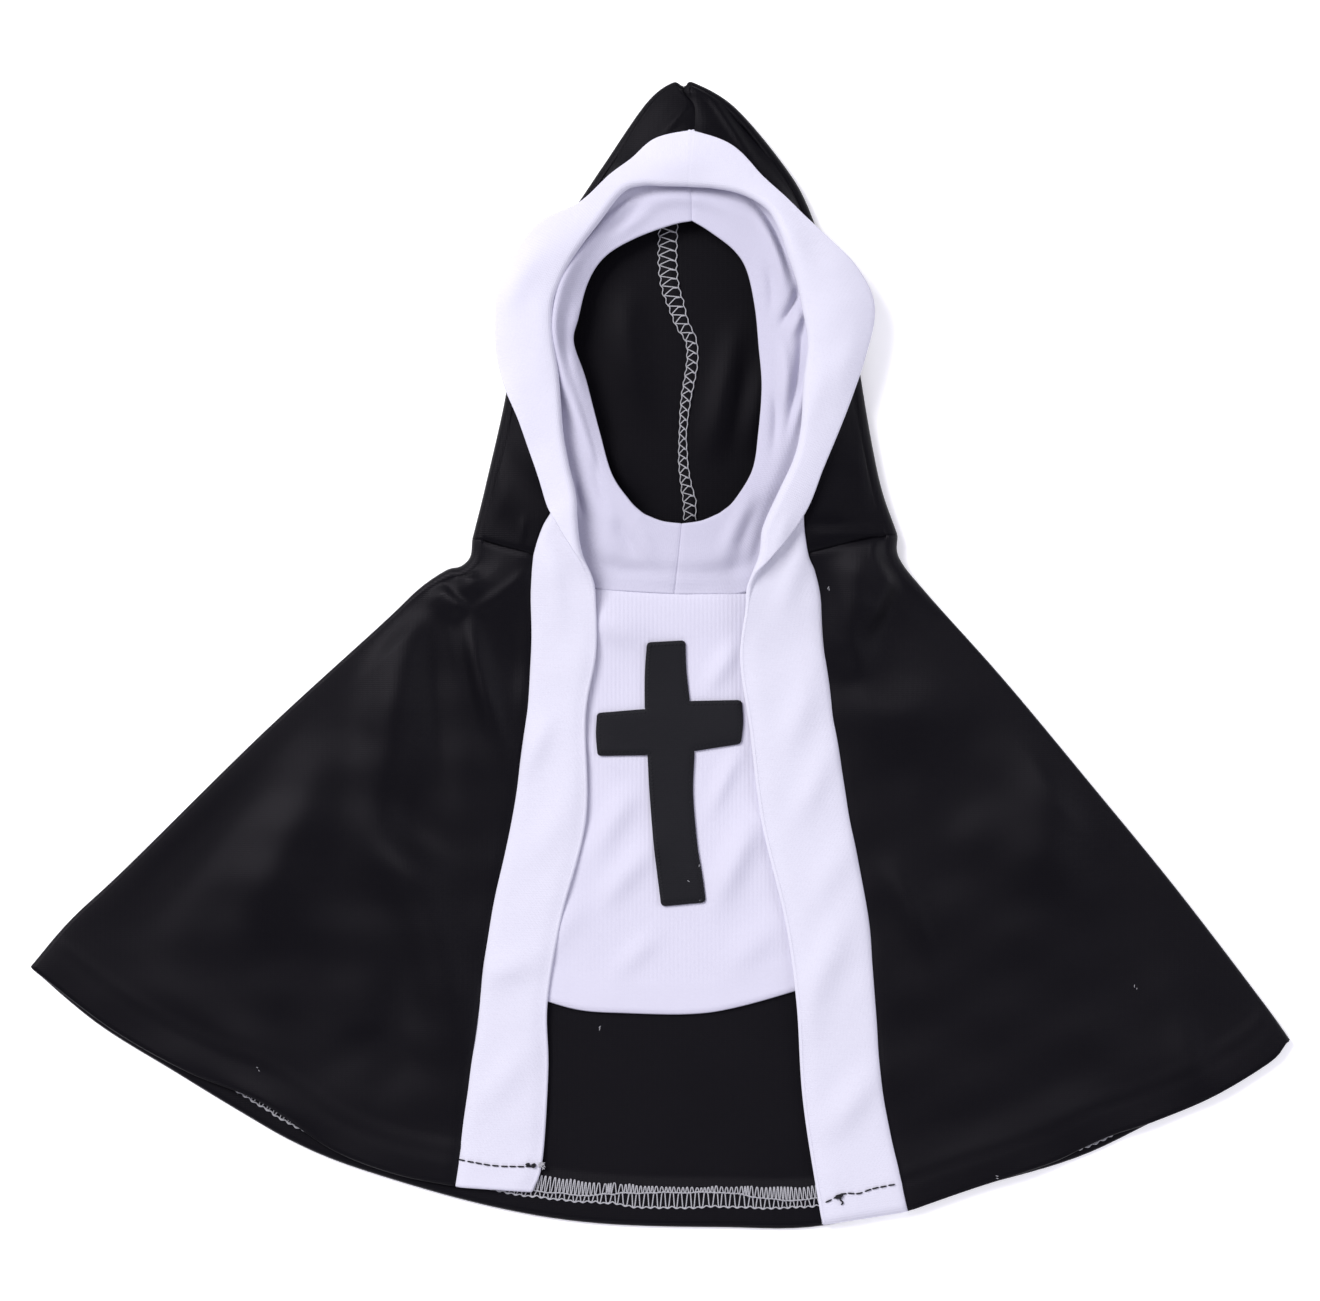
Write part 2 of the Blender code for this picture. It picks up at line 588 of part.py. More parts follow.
def cape_front(front, fold_edge, side_height):
    """Points of one front, from the band's seam to its side fold."""
    edge = seam_line(front.band, front.neck_section, len(front.band) - 1, GAP)
    neck = [tuple(edge[0])] + front.neck[1:]
    hem = [tuple(edge[-1])] + front.hem[1:]
    plan = patch(edge, front.side_line, neck, hem, CAPE_ROWS, CAPE_FRONT_COLUMNS)
    share = np.linspace(0, 1, plan.shape[1])[None, :]
    inset = fold_edge[:, :2] - plan[:, -1]
    plan = plan + inset[:, None, :] * share[..., None] ** 2
    return np.dstack([plan, cape_heights(plan, side_height, share)])


def cape_heights(plan, side_height, share):
    """Heights of a front: the band's seam at one side, the side fold at the other."""
    edge_height = seam_height(plan[:, :1, 1])
    level = edge_height + (side_height[:, None] - edge_height) * ease(share)
    rows = np.linspace(0, 1, plan.shape[0])[:, None]
    room = ease(4 * share) * ease(4 * (1 - share)) * ease(8 * rows + 0.15)
    return level + room * fold_height(plan, CAPE_FOLDS)


def cape_back(left_edge, right_edge):
    """Points of the back, flat on the floor between the two side folds."""
    plan = patch(CAPE_LEFT_SIDE, CAPE_RIGHT_SIDE, CAPE_BACK_NECK, CAPE_BACK_HEM,
                 CAPE_ROWS, CAPE_BACK_COLUMNS)
    share = np.linspace(0, 1, plan.shape[1])[None, :, None]
    left_inset = (left_edge[:, :2] - plan[:, 0])[:, None, :]
    right_inset = (right_edge[:, :2] - plan[:, -1])[:, None, :]
    plan = plan + left_inset * (1 - share) ** 4 + right_inset * share ** 4
    return np.dstack([plan, np.full(plan.shape[:2], BACK_HEIGHT)])


def cape_normals(points, left_normals, right_normals):
    """Normals of the cape's cloth, away from its own inside."""
    left_fold = CAPE_FRONT_COLUMNS
    back_start = left_fold + ARC_STEPS
    right_fold = back_start + CAPE_BACK_COLUMNS
    front_start = right_fold + ARC_STEPS
    normals = -grid_normals(points)
    normals[:, back_start:right_fold + 1] = (0, 0, -1)
    normals[:, left_fold:back_start + 1] = left_normals
    normals[:, right_fold:front_start + 1] = right_normals
    normals[:, 0] = (0, 0, 1)
    normals[:, -1] = (0, 0, 1)
    normals[0, :left_fold] = (0, 0, 1)
    normals[0, front_start + 1:] = (0, 0, 1)
    return normals


def cape(material):
    """One wall: left front, left fold, back, right fold, right front."""
    shares = np.linspace(0, 1, CAPE_ROWS + 1) ** ROW_CROWDING
    neck_share = 1 - ease(shares * NECK_FADE)
    hem_share = ease((shares - HEM_START) * HEM_FADE)
    radius = CAPE_SIDE_RADIUS + (CAPE_NECK_RADIUS - CAPE_SIDE_RADIUS) * neck_share
    radius = radius + HEM_RISE / 2 * hem_share
    side_height = BACK_HEIGHT + 2 * radius
    left_arc, left_normals = cape_side(LEFT_FRONT, radius, shares)
    right_arc, right_normals = cape_side(RIGHT_FRONT, radius, shares)
    left = cape_front(LEFT_FRONT, left_arc[:, 0], side_height)
    right = cape_front(RIGHT_FRONT, right_arc[:, -1], side_height)
    back = cape_back(left_arc[:, -1], right_arc[:, 0])
    points = np.concatenate([left[:, :-1], left_arc, back[:, 1:-1], right_arc,
                             right[:, -2::-1]], axis=1)
    normals = cape_normals(points, left_normals, right_normals)
    half = BLACK_WALL / 2 * normals
    inner = points - half
    back_start = CAPE_FRONT_COLUMNS + ARC_STEPS
    inner[:, back_start + 1:back_start + CAPE_BACK_COLUMNS, 2] += HEM_RISE * hem_share[:, None]
    return wall("cape", points + half, inner, material)


# Face ring, bib and cross

def coif_section(row):
    """Points of one section, from the root under the band to the face."""
    root_z = seam_height(row.root_y) - row.root_drop
    root = np.array([row.root_x, row.root_y, root_z])
    crest = np.array([row.crest_x, row.crest_y, row.crest_z])
    edge = np.array([row.edge_x, row.edge_y, row.edge_z])
    under = root + COIF_UNDER_SHARE * (crest - root)
    under[2] = min(root_z, row.crest_z)
    return [root, (root + under) / 2, under, crest, (crest + edge) / 2, edge]


def coif_half(name, table, material, turn):
    """One half of the ring round the face."""
    rows = [Coif(*row) for row in smooth_rows(table, COIF_ROWS_PER_SECTION)]
    points = np.array([coif_section(row) for row in rows])
    normals = turn * grid_normals(points)
    normals[0] = (0, 0, 1)
    normals[-1] = (0, 0, 1)
    normals[:, 0] = (0, 0, 1)
    half = COIF_WALL / 2 * normals
    return wall(name, points + half, points - half, material)


def bib(material):
    """The bib, flat but for its rise towards the neck."""
    plan = patch(BIB_LEFT, BIB_RIGHT, BIB_TOP, BIB_BOTTOM, BIB_ROWS, BIB_COLUMNS)
    height = bib_height(plan[..., 1])
    top = np.dstack([plan, height + BIB_WALL / 2])
    under = np.dstack([plan, height - BIB_WALL / 2])
    return wall("bib", under, top, material)


def cross_rows():
    """Plan rows of the cross; the rows through its arms have more points."""
    rows = []
    arms = dict(zip(CROSS_ARM_SECTIONS, zip(CROSS_LEFT_ARM, CROSS_RIGHT_ARM)))
    for index, stem in enumerate(CROSS_STEM):
        left = np.array([stem.left_x, stem.left_y])
        right = np.array([stem.right_x, stem.right_y])
        row = [left, (left + right) / 2, right]
        if index in arms:
            left_end, right_end = np.array(arms[index])
            row = [left_end, (left_end + left) / 2] + row + [(right + right_end) / 2, right_end]
        rows.append(row)
    return rows


def cross_cells(rows):
    """Corner numbers of the cells between each row and the next."""
    numbers = []
    count = 0
    for row in rows:
        numbers.append(list(range(count, count + len(row))))
        count += len(row)
    cells = []
    for upper, lower in zip(numbers, numbers[1:]):
        wide = min(len(upper), len(lower))
        upper = upper[(len(upper) - wide) // 2:(len(upper) + wide) // 2]
        lower = lower[(len(lower) - wide) // 2:(len(lower) + wide) // 2]
        cells += list(zip(upper, lower, lower[1:], upper[1:]))
    return cells


def cross(material):
    """The cross, made from the bib's points, moved out."""
    rows = cross_rows()
    plan = np.vstack(rows)
    height = bib_height(plan[:, 1]) + BIB_WALL / 2 + GAP
    under = np.column_stack([plan, height])
    top = np.column_stack([plan, height + CROSS_WALL])
    count = len(plan)
    faces = []
    edges = set()
    for a, b, c, d in cross_cells(rows):
        faces += [(a + count, b + count, c + count), (a + count, c + count, d + count)]
        faces += [(c, b, a), (d, c, a)]
        edges |= {(a, b), (b, c), (c, d), (d, a)}
    for start, end in sorted(edges):
        if (end, start) not in edges:
            faces += [(start, end, end + count), (start, end + count, start + count)]
    return cloth_object("cross", np.vstack([under, top]), faces, material)


def centre_on_origin(pieces):
    """Move the middle of the garment's outline over the origin."""
    corners = np.array([vertex.co for piece in pieces for vertex in piece.data.vertices])
    low = corners.min(axis=0)
    middle = (low + corners.max(axis=0)) / 2
    shift = Matrix.Translation((-middle[0], -middle[1], -low[2]))
    for piece in pieces:
        piece.data.transform(shift)


def main():
    """Clear the scene and build every piece."""
    for leftover in list(bpy.data.objects):
        bpy.data.objects.remove(leftover, do_unlink=True)
    black = cloth_material("black_knit", BLACK, 0.72)
    white = cloth_material("white_knit", WHITE, 0.75)
    rib = cloth_material("white_rib", WHITE, 0.8)
    cross_cloth = cloth_material("cross_cloth", CROSS_BLACK, 0.8)
    pieces = [
        cape(black),
        hood_half("hood_left", HOOD_LEFT_SIDE, LEFT_BAND, LEFT_NECK_SECTION, black, 1),
        hood_half("hood_right", HOOD_RIGHT_SIDE, RIGHT_BAND, RIGHT_NECK_SECTION, black, -1),
        band_wall("band_left", LEFT_BAND, white),
        band_wall("band_right", RIGHT_BAND, white),
        coif_half("coif_left", LEFT_COIF, white, 1),
        coif_half("coif_right", RIGHT_COIF, white, -1),
        bib(rib),
        cross(cross_cloth),
    ]
    centre_on_origin(pieces)


main()
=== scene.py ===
from collections import namedtuple
from math import pi

import bpy
import numpy as np
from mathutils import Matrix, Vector


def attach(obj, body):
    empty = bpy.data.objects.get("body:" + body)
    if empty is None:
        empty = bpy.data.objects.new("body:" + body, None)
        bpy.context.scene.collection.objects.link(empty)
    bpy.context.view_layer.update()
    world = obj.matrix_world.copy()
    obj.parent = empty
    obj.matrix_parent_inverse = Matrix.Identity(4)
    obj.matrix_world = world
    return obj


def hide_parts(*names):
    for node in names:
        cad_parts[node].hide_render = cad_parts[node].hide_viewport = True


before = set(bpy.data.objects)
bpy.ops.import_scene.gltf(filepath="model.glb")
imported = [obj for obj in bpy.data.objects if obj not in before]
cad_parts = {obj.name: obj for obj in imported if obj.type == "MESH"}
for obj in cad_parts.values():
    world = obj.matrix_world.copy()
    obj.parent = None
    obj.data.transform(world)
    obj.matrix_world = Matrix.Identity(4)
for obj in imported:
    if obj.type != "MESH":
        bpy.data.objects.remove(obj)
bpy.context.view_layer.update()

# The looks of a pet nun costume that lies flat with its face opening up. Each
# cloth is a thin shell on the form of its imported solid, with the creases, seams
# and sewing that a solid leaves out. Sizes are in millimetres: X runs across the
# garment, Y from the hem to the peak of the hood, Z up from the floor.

MM = 0.001

# The tables' middle lies this far below the frame's origin, in plan
TABLES_DROP = 0.34

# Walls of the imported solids, and the gaps between them
BLACK_WALL = 1.2
BAND_WALL = 1.6
BIB_WALL = 1.0
GAP = 0.3
HOOD_EDGE_GAP = 0.6

# Thicknesses of the cloths shown; the coif, the bib and the cross are thin
BLACK_CLOTH = 1.0
BAND_CLOTH = 1.5
THIN_CLOTH = 0.9
RIM_ROUNDING = 0.3

# Heights of the middle and the top of the back's cloth above the floor
BACK_HEIGHT = BLACK_WALL / 2
BACK_TOP = BACK_HEIGHT + BLACK_CLOTH / 2

# Half the height of the cape's side folds, wider at the neck and at the tips, and
# over which shares of the side it widens
CAPE_SIDE_RADIUS = (BLACK_WALL + GAP) / 2
CAPE_NECK_RADIUS = 2.6
NECK_FADE = 1 / 6
TIP_START = 0.9
TIP_FADE = 1 / 12

# The cape's turned-up hem: its depth and thickness, the step at its top, how far
# above the edge it is stitched down, and how much of it shows on the fronts
HEM_DEPTH = 12.6
HEM_RISE = 0.6
HEM_STEP_WIDTH = 0.8
HEM_STITCH_UP = 8.5
HEM_SHOWS = 0.15
HEM_SHOWS_WIDTH = 2.0
HEM_WINDOW = 1 / 40

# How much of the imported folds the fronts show, and where they fade: over a share of
# the width beside the band and beside the side fold, and of the length at the neck
FOLD_SHARE = 0.3
FOLD_FADE = 4.0
FOLD_NECK_FADE = 1.8
FOLD_NECK_ROWS = 5.0
FOLD_START_ROWS = 8.0
FOLD_AT_NECK = 0.15

# Fronts stay this far above the back, in a soft curve, but not beside the fold
LEAST_LIFT = 0.05
LIFT_SOFTNESS = 0.35
LIFT_ROOM = 3.0

# Rise of the hood's front over a straight line from its fold to the band, the points
# of the band's seam that its top seam replaces, where its swells start, and how far
# each half reaches over the centre seam
HOOD_BULGE = 0.88
CROWN_POINTS = 4
HOOD_SWELL_FADE = 1 / 4
SEAM_LAP = 0.15

# Share of the way to the ring's crest that stays low, under the band
COIF_UNDER_SHARE = 0.62

# The white band's roll: half of its cloth, the cloth that it takes up, and the
# latest shares of the width at which it starts and ends
ROLL_HALF_ARC = 2.2
ROLL_ALLOWANCE = ROLL_HALF_ARC * (1 - 2 / pi)
ROLL_LATEST_START = 0.72
ROLL_LATEST_END = 0.88
FLAP_ARCH_PER_MM = np.radians(2.4)

# The free edge of the band settles on the bib from this height up the garment down
EDGE_DROP_START = 12.0
EDGE_DROP_FADE = 10.0

# How finely each cloth is divided; the band's columns are those at the seam, at the
# start and the end of the roll, and at the free edge
CAPE_ROWS = 170
CAPE_FRONT_COLUMNS = 66
CAPE_BACK_COLUMNS = 84
ROW_CROWDING = 1.2
HOOD_ROWS = 150
HOOD_BACK_COLUMNS = 34
HOOD_FRONT_COLUMNS = 54
ARC_STEPS = 12
BAND_ROWS_PER_SECTION = 14
BAND_COLUMNS = (0, 12, 24, 40)
CURVE_STEPS = 160
COIF_ROWS_PER_SECTION = 14
COIF_COLUMNS_PER_SPAN = 8
BIB_ROWS = 90
BIB_COLUMNS = 300
LINE_POINTS = 24
SEAM_POINTS = 16
HEM_POINTS = 600

# Creases and tucks: the steps along their paths, the shares over which they fade at
# their ends, how far they reach and the room that they leave beside a fold
CREASE_SPACING = 0.6
CREASE_FADE = 0.45
CREASE_REACH = 3.2
CREASE_ROOM = 1.6
TUCK_SPACING = 0.15
TUCK_FADE = 0.3
TUCK_ROOM = 5.0

# Uneven swells of each cloth: how many waves, their length, the least and the most of
# it that a wave has, their heights and seeds
SWELL_WAVES = 9
SWELL_LENGTH = 26.0
SWELL_LENGTHS = (0.5, 1.6)
CAPE_SWELL = 0.28
BAND_SWELL = 0.16
COIF_SWELL = 0.14
BIB_SWELL = 0.12
CROSS_SWELL = 0.08
LEFT_FRONT_SEED = 1
RIGHT_FRONT_SEED = 2
BAND_SEED = 3
HOOD_SEED = 5
BIB_SEED = 7
CROSS_SEED = 9
COIF_SEED = 12

# Dents in the cloth beside seams, edges and stitches: their depth and width
SEAM_TUCK = (0.5, 1.3)
NECK_TUCK = (0.5, 0.9)
CROWN_DIP = (0.3, 0.5)
EDGE_DROP = (0.7, 3.0)
HEM_DENT = (0.18, 0.9)
COIF_SEAM_DIP = (0.28, 0.8)

# The bib's ribs, how much of them its plain hem shows, and the hem's depth, the step
# at its top and its rise
RIB_PITCH = 1.25
RIB_HEIGHT = 0.03
HEM_RIB_SHARE = 0.3
BIB_HEM = 10.0
BIB_HEM_STEP = 3.0
BIB_HEM_RISE = 0.15

# The cross: its divisions, its thinner edge and where its swells start
CROSS_ROWS_PER_SPAN = 10
CROSS_STEM_COLUMNS = 14
CROSS_ARM_COLUMNS = 16
CROSS_EDGE_SHARE = 0.62
CROSS_EDGE_WIDTH = 1.4
CROSS_SWELL_FADE = 3.0

# Threads: their sides, the way round from one to the next, the two faces that close
# an end, how far an end is drawn in, and each thread's radius
THREAD_SIDES = 6
THREAD_SIDE_STEP = 0.2
THREAD_END = [[0, 1, 4, 5], [1, 2, 3, 4]]
THREAD_END_SIZE = 0.2
HEM_THREAD = 0.18
FINE_THREAD = 0.16
BLACK_THREAD = 0.24
KNOT_THREAD = 0.14
LINT_THREAD = 0.09

# Overlocking of the hem: its pitch, how far from the tips it starts, how far its foot,
# middle and top stray, and its loops: half the width of their tops, and of their turns;
# its loops, foot and middle lie so many thread radii up
LOOP_STEPS = 20
HEM_PITCH = 2.6
HEM_MARGIN = 12.0
HEM_UPPER_LEGS = 2
HEM_STRAY = (0.22, 0.25, 0.35)
LOWER_LOOP = (0.34, 0.20)
UPPER_LOOP = (0.42, 0.34)
LOWER_SWAY = 0.35
UPPER_SWAY = 0.45
LEG_SWAY = 0.3
FOOT_WAVE = 0.25
MIDDLE_WAVE = (0.3, 0.2)
HEM_LIFTS = (1.0, 1.5, 2.0)

# Overlocking of the hood's seam: its pitch, the way of one leg by the share of a
# stitch, forward and across, how far the stitches sway, how high the legs and the
# two edges lie and how the edges wave; and the seam allowance below it
HOOD_PITCH = 2.9
LEG_TIMES = (0.0, 0.35, 0.5, 0.65, 1.0)
LEG_FORWARD = (0.0, 0.36, 0.62, 0.48, 1.0)
LEG_ACROSS = (-0.95, 0.2, 0.93, 0.2, -0.95)
HOOD_SWAY = 0.3
HOOD_LIFTS = (0.25, 0.2, 0.3)
HOOD_EDGE = 0.93
HOOD_EDGE_WAVES = (0.10, 0.08)
HOOD_EDGE_SWAY = 0.2
HOOD_LEG_SWAY = 0.5
ALLOWANCE_RISE = 0.8
ALLOWANCE_DEPTH = 0.4
ALLOWANCE_COLUMNS = 8

# Black stitches on the bands: their length, gap, its least and most, and stray, their
# height and bow, and the points along each and along a span of their line
BLACK_STITCH = 2.2
BLACK_STITCH_GAP = 0.3
BLACK_STITCH_GAPS = (0.6, 1.5)
BLACK_STITCH_STRAY = 0.12
BLACK_STITCH_LIFT = 0.14
BLACK_STITCH_BOW = 0.16
BLACK_STITCH_STEPS = 6
BLACK_STITCH_POINTS = 12

# Loose loops: the steps along each, how high they lie, and between what their turns,
# widths, depths and rises are drawn
TANGLE_STEPS = 15
TANGLE_LIFT = 0.25
TANGLE_RISE = 0.35
TANGLE_TURNS = (0.5, 1.3)
TANGLE_WIDTHS = (0.4, 1.0)
TANGLE_DEPTHS = (0.3, 0.9)
TANGLE_RISES = (0.2, 1.0)
TANGLE_STRAY = 0.4
TANGLE_PHASE = 1.7

# Loose ends: the steps along each, how high they lie, how far they stray and bend,
# and between what shares their length is drawn
LOOSE_STEPS = 7
LOOSE_LIFT = 0.15
LOOSE_STRAY = 0.6
LOOSE_BEND = 1.4
LOOSE_LENGTHS = (0.5, 1.0)
TAIL_LIFT = 0.3
TAIL_POINTS = 4

# Zigzag round the cross: its pitch, half its width, how far in its middle lies, and
# its height over the cloth: less its dip outside, and more its rise from halfway in
ZIGZAG_PITCH = 1.1
ZIGZAG_HALF = 0.5
ZIGZAG_INSET = 0.45
ZIGZAG_LIFT = 0.1
ZIGZAG_RISE = 0.28
ZIGZAG_DIP = 0.25
ZIGZAG_HALFWAY = 0.5

# Looks that all the knits share: patches and specks of noise by scale, detail and
# roughness, how much they tint the cloth, how much painted shade the stitches' low
# parts get, how deep the legs of the stitches wave, and a bump by its strength and its
# distance in metres
PATCHES = (38.0, 3.0, 0.5)
SPECKS = (1500.0, 2.0, 0.7)
PATCH_TINT = 0.6
SPECK_TINT = 0.5
TINT_START = 0.1
TINT_SHARE = 0.75
STITCH_PAINTED_SHADE = 0.35
LEG_WAVE = 0.35
ROUGHNESS_SPREAD = 0.12
KNIT_BUMP = (0.6, MM)
SHEEN_ROUGHNESS = 0.45
KNIT_TINT = (0.94, 0.90, 1.0, 1)

# Looks that all the threads share; the twist turns so far a millimetre along them
# and from side to side
THREAD_PATCHES = (260.0, 2.0, 0.5)
THREAD_TWIST = (9.0, 5.2)
THREAD_BUMP = (0.4, 0.1 * MM)
THREAD_GLOSS = 0.15

# Camera, in metres: the width that the picture shows at the garment's height
CAMERA_HEIGHT = 2.5
VIEWED_HEIGHT = 0.005
VIEWED_WIDTH = 0.396
VIEWED_MIDDLE = (-0.0001, 0.00114)
SENSOR_WIDTH = 36.0

# Studio
FLOOR_Z = -0.0002
FLOOR_HALF = 3.0
FLOOR_COLOUR = (0.98, 0.98, 0.98, 1)
FLOOR_ROUGHNESS = 0.9
FLOOR_GLOW = 0.3
WORLD_COLOUR = (0.84, 0.80, 1.0, 1)
WORLD_STRENGTH = 0.45

# Soft lights: place in metres, side of the square, power in watts, colour
LIGHTS = {
    "key": ((-1.25, 1.03, 1.62), 1.1, 57.0, (1.0, 0.99, 0.98)),
    "right_fill": ((1.60, 0.10, 0.80), 0.9, 10.8, (0.96, 0.97, 1.0)),
    "low_fill": ((-0.20, -1.70, 0.80), 0.9, 8.6, (0.97, 0.98, 1.0)),
}

# Height of the seam along the band, by its distance up the garment: pairs
SEAM_HEIGHTS = [
    (-175, 3.1), (-155, 3.1), (-145, 2.5), (-60, 2.5), (-20, 3.2), (0, 4.2), (17, 6), (30, 8),
    (44, 9.2), (68, 10), (90, 10.4), (105, 10.6), (125, 10.4), (147, 9.2),
]

# Height of the bib, which lifts from the cape's back towards the neck: pairs
BIB_HEIGHTS = [(-110, 2), (-40, 2), (-20, 2.4), (0, 3.4), (17, 5)]

# Half the height of the hood's side folds, by the share of the way from the peak
# to the neck
HOOD_SIDE = [(0, 1), (0.15, 1.5), (0.35, 2.2), (0.6, 2.6), (1, 2.6)]

# Sections of the white band from the crown to the hem: the seam's X and Y, heading,
# reach, flap and lift. The heading is the way from the seam towards the opening, in
# degrees from +X. The reach is the cloth from the seam to the roll and the flap is
# what is turned back beyond it, below zero where the roll has run off the free
# edge. The lift is the rise on the way to the roll.
LEFT_BAND = [
    (9.45, 146.4, -93, 7, 16, 1),
    (0.1, 145.4, -81, 6, 13.3, 1),
    (-6.9, 143.9, -69, 4.8, 7.2, 1.2),
    (-13.4, 140.7, -54, 4.2, 4.8, 1.2),
    (-21.6, 131.9, -45, 5, 6.8, 1.2),
    (-28.3, 124.3, -30, 5.5, 13.2, 1),
    (-33.5, 116.9, -18, 6, 15.2, 1),
    (-37.2, 107.8, -8, 6, 16.3, 1),
    (-38, 100.5, 0, 6, 16.1, 1),
    (-37.5, 92, 5, 6, 16.5, 1),
    (-36.2, 83.3, 12, 6, 15.8, 1),
    (-35.7, 73, 18, 6.5, 12.3, 1),
    (-35.2, 63.6, 20, 7, 9.8, 1.5),
    (-33.8, 54.2, 22, 7.5, 8.3, 2),
    (-31.8, 44.8, 20, 8, 7.6, 3),
    (-35.1, 37.8, 6, 11.2, 4, 3),
    (-37.7, 29.6, 1, 15, 0, 3),
    (-38.6, 18, -2, 20.4, -3, 2.5),
    (-38.5, 0, 0, 20.4, -3, 2.1),
    (-40.2, -20, 3, 19, -3, 1.8),
    (-44.4, -50, 0, 23.2, -3, 1.7),
    (-50.6, -79, -2, 22, -3, 1.7),
    (-54.2, -105, 0, 21.4, -3, 1.2),
    (-57, -125, 0, 24.4, -3, 0.4),
    (-60.3, -151, -3, 26, -3, 0.3),
    (-61.5, -159.9, -4, 24.3, -3, 0.2),
]

RIGHT_BAND = [
    (8.05, 146.4, -93, 7, 16, 1),
    (18.1, 144.4, -111, 6, 12.8, 1),
    (27.4, 140.3, -135, 4.8, 6.6, 1.2),
    (34.9, 134.6, -153, 4.2, 5.2, 1.2),
    (39.6, 128.6, -157, 5, 7.4, 1.2),
    (43.1, 120.5, -161, 5.5, 12.6, 1),
    (46.4, 112.2, -169, 6, 18.2, 1),
    (48.2, 103.5, -180, 6, 21.2, 1),
    (49.7, 91.6, -193, 6, 16.8, 1),
    (48.3, 79.4, -198, 6, 13.9, 1),
    (47.9, 65.7, -200, 6.5, 9.4, 1),
    (46.5, 55.7, -202, 7.5, 7.6, 1.5),
    (42.9, 44.1, -205, 9.3, 8.4, 2.5),
    (43.9, 30.6, -208, 15.6, 6.3, 3),
    (46.1, 24.6, -195, 17.8, 1.5, 3),
    (48, 16, -178, 23.6, -3, 2.8),
    (49.3, 0, -176, 26.6, -3, 2.1),
    (52.3, -22, -177, 26.6, -3, 1.8),
    (56.8, -50, -178, 27.5, -3, 1.7),
    (62.2, -79, -178, 26, -3, 1.7),
    (64.4, -105, -180, 24.6, -3, 1.4),
    (67, -134, -178, 25.2, -3, 0.4),
    (74.3, -167.3, -171, 27.1, -3, 0.2),
]

# The section at which the hood ends and the cape starts
LEFT_NECK_SECTION = 16
RIGHT_NECK_SECTION = 13

# Outlines of the hood from the peak to the neck, in plan
HOOD_BACK_SEAM = [(7, 166), (5, 146), (2.3, 127.5), (2.3, 114.3), (8.8, 94),
                  (8.3, 79.8), (6.8, 62), (8.9, 46), (8.3, 34.8)]
HOOD_TOP_SEAM = [(8, 166.4), (10.4, 163.6), (10.4, 158), (8.7, 147.2)]
HOOD_LEFT_SIDE = [(6.8, 170.4), (3.4, 171.4), (-4.5, 165), (-17.6, 145.9), (-26.8, 132.4),
                  (-38.6, 117.5), (-45.8, 102.5), (-46.9, 90), (-46.3, 79), (-52.5, 50.7),
                  (-56.6, 34.1)]
HOOD_RIGHT_SIDE = [(7.3, 170.4), (10.3, 171.4), (23.2, 163.3), (40.2, 142.2), (48.2, 125),
                   (55.2, 112), (59.4, 98), (59.9, 85.5), (65.6, 53.1), (71.3, 35.5)]

# Outlines of the cape, in plan; the fronts' hems start at the band's lower end
CAPE_LEFT_SIDE = [(-56.6, 34), (-57.2, 29), (-60, 26.2), (-64.4, 25), (-72.6, 19.4),
                  (-83.6, 9), (-119.8, -24.2), (-160.3, -64.1), (-177.4, -80.2),
                  (-189.2, -94)]
CAPE_RIGHT_SIDE = [(71.3, 35.4), (71.9, 28.5), (80.3, 17.8), (103.2, -7.8), (129.6, -39.5),
                   (155.1, -70.7), (180.5, -103.9), (189.2, -116)]
CAPE_BACK_HEM = [(-189.2, -94), (-169.4, -110.4), (-146.6, -124.6), (-128, -136), (-109.4, -146.6),
                 (-88.8, -154.8), (-52.6, -165.2), (-20.3, -170.6), (18.7, -171.9),
                 (50.2, -171.2), (90, -160.9), (124.4, -151.1), (149.2, -139.5),
                 (177.1, -125.6), (189.2, -116)]
CAPE_LEFT_HEM = [(-79.5, -156.2), (-99.1, -148.5), (-119.8, -134.4),
                 (-141.5, -125.5), (-165, -112.4), (-189.2, -94)]
CAPE_RIGHT_HEM = [(93.5, -160.6), (117, -152.9), (128, -147.7), (136, -144.2),
                  (149, -139.9), (166.6, -132.4), (184.1, -121.8), (189.2, -116)]

# Folds of the cape's fronts: soft ridges, or troughs where the height is below
# zero, along a straight line in plan: its two ends, the width and the height
CAPE_FOLDS = [
    (-47, 30, -52, 20, 9, 4.5),
    (-62, 20, -84, -20, 7, 2.2),
    (-57, 8, -68, -60, 10, 3.2),
    (-86, -30, -110, -100, 14, 2.4),
    (-126, -50, -150, -100, 12, 1.2),
    (56, 24, 60, -40, 8, 3.4),
    (80, 6, 92, -70, 12, 2.4),
    (112, -40, 140, -118, 14, 1.6),
]

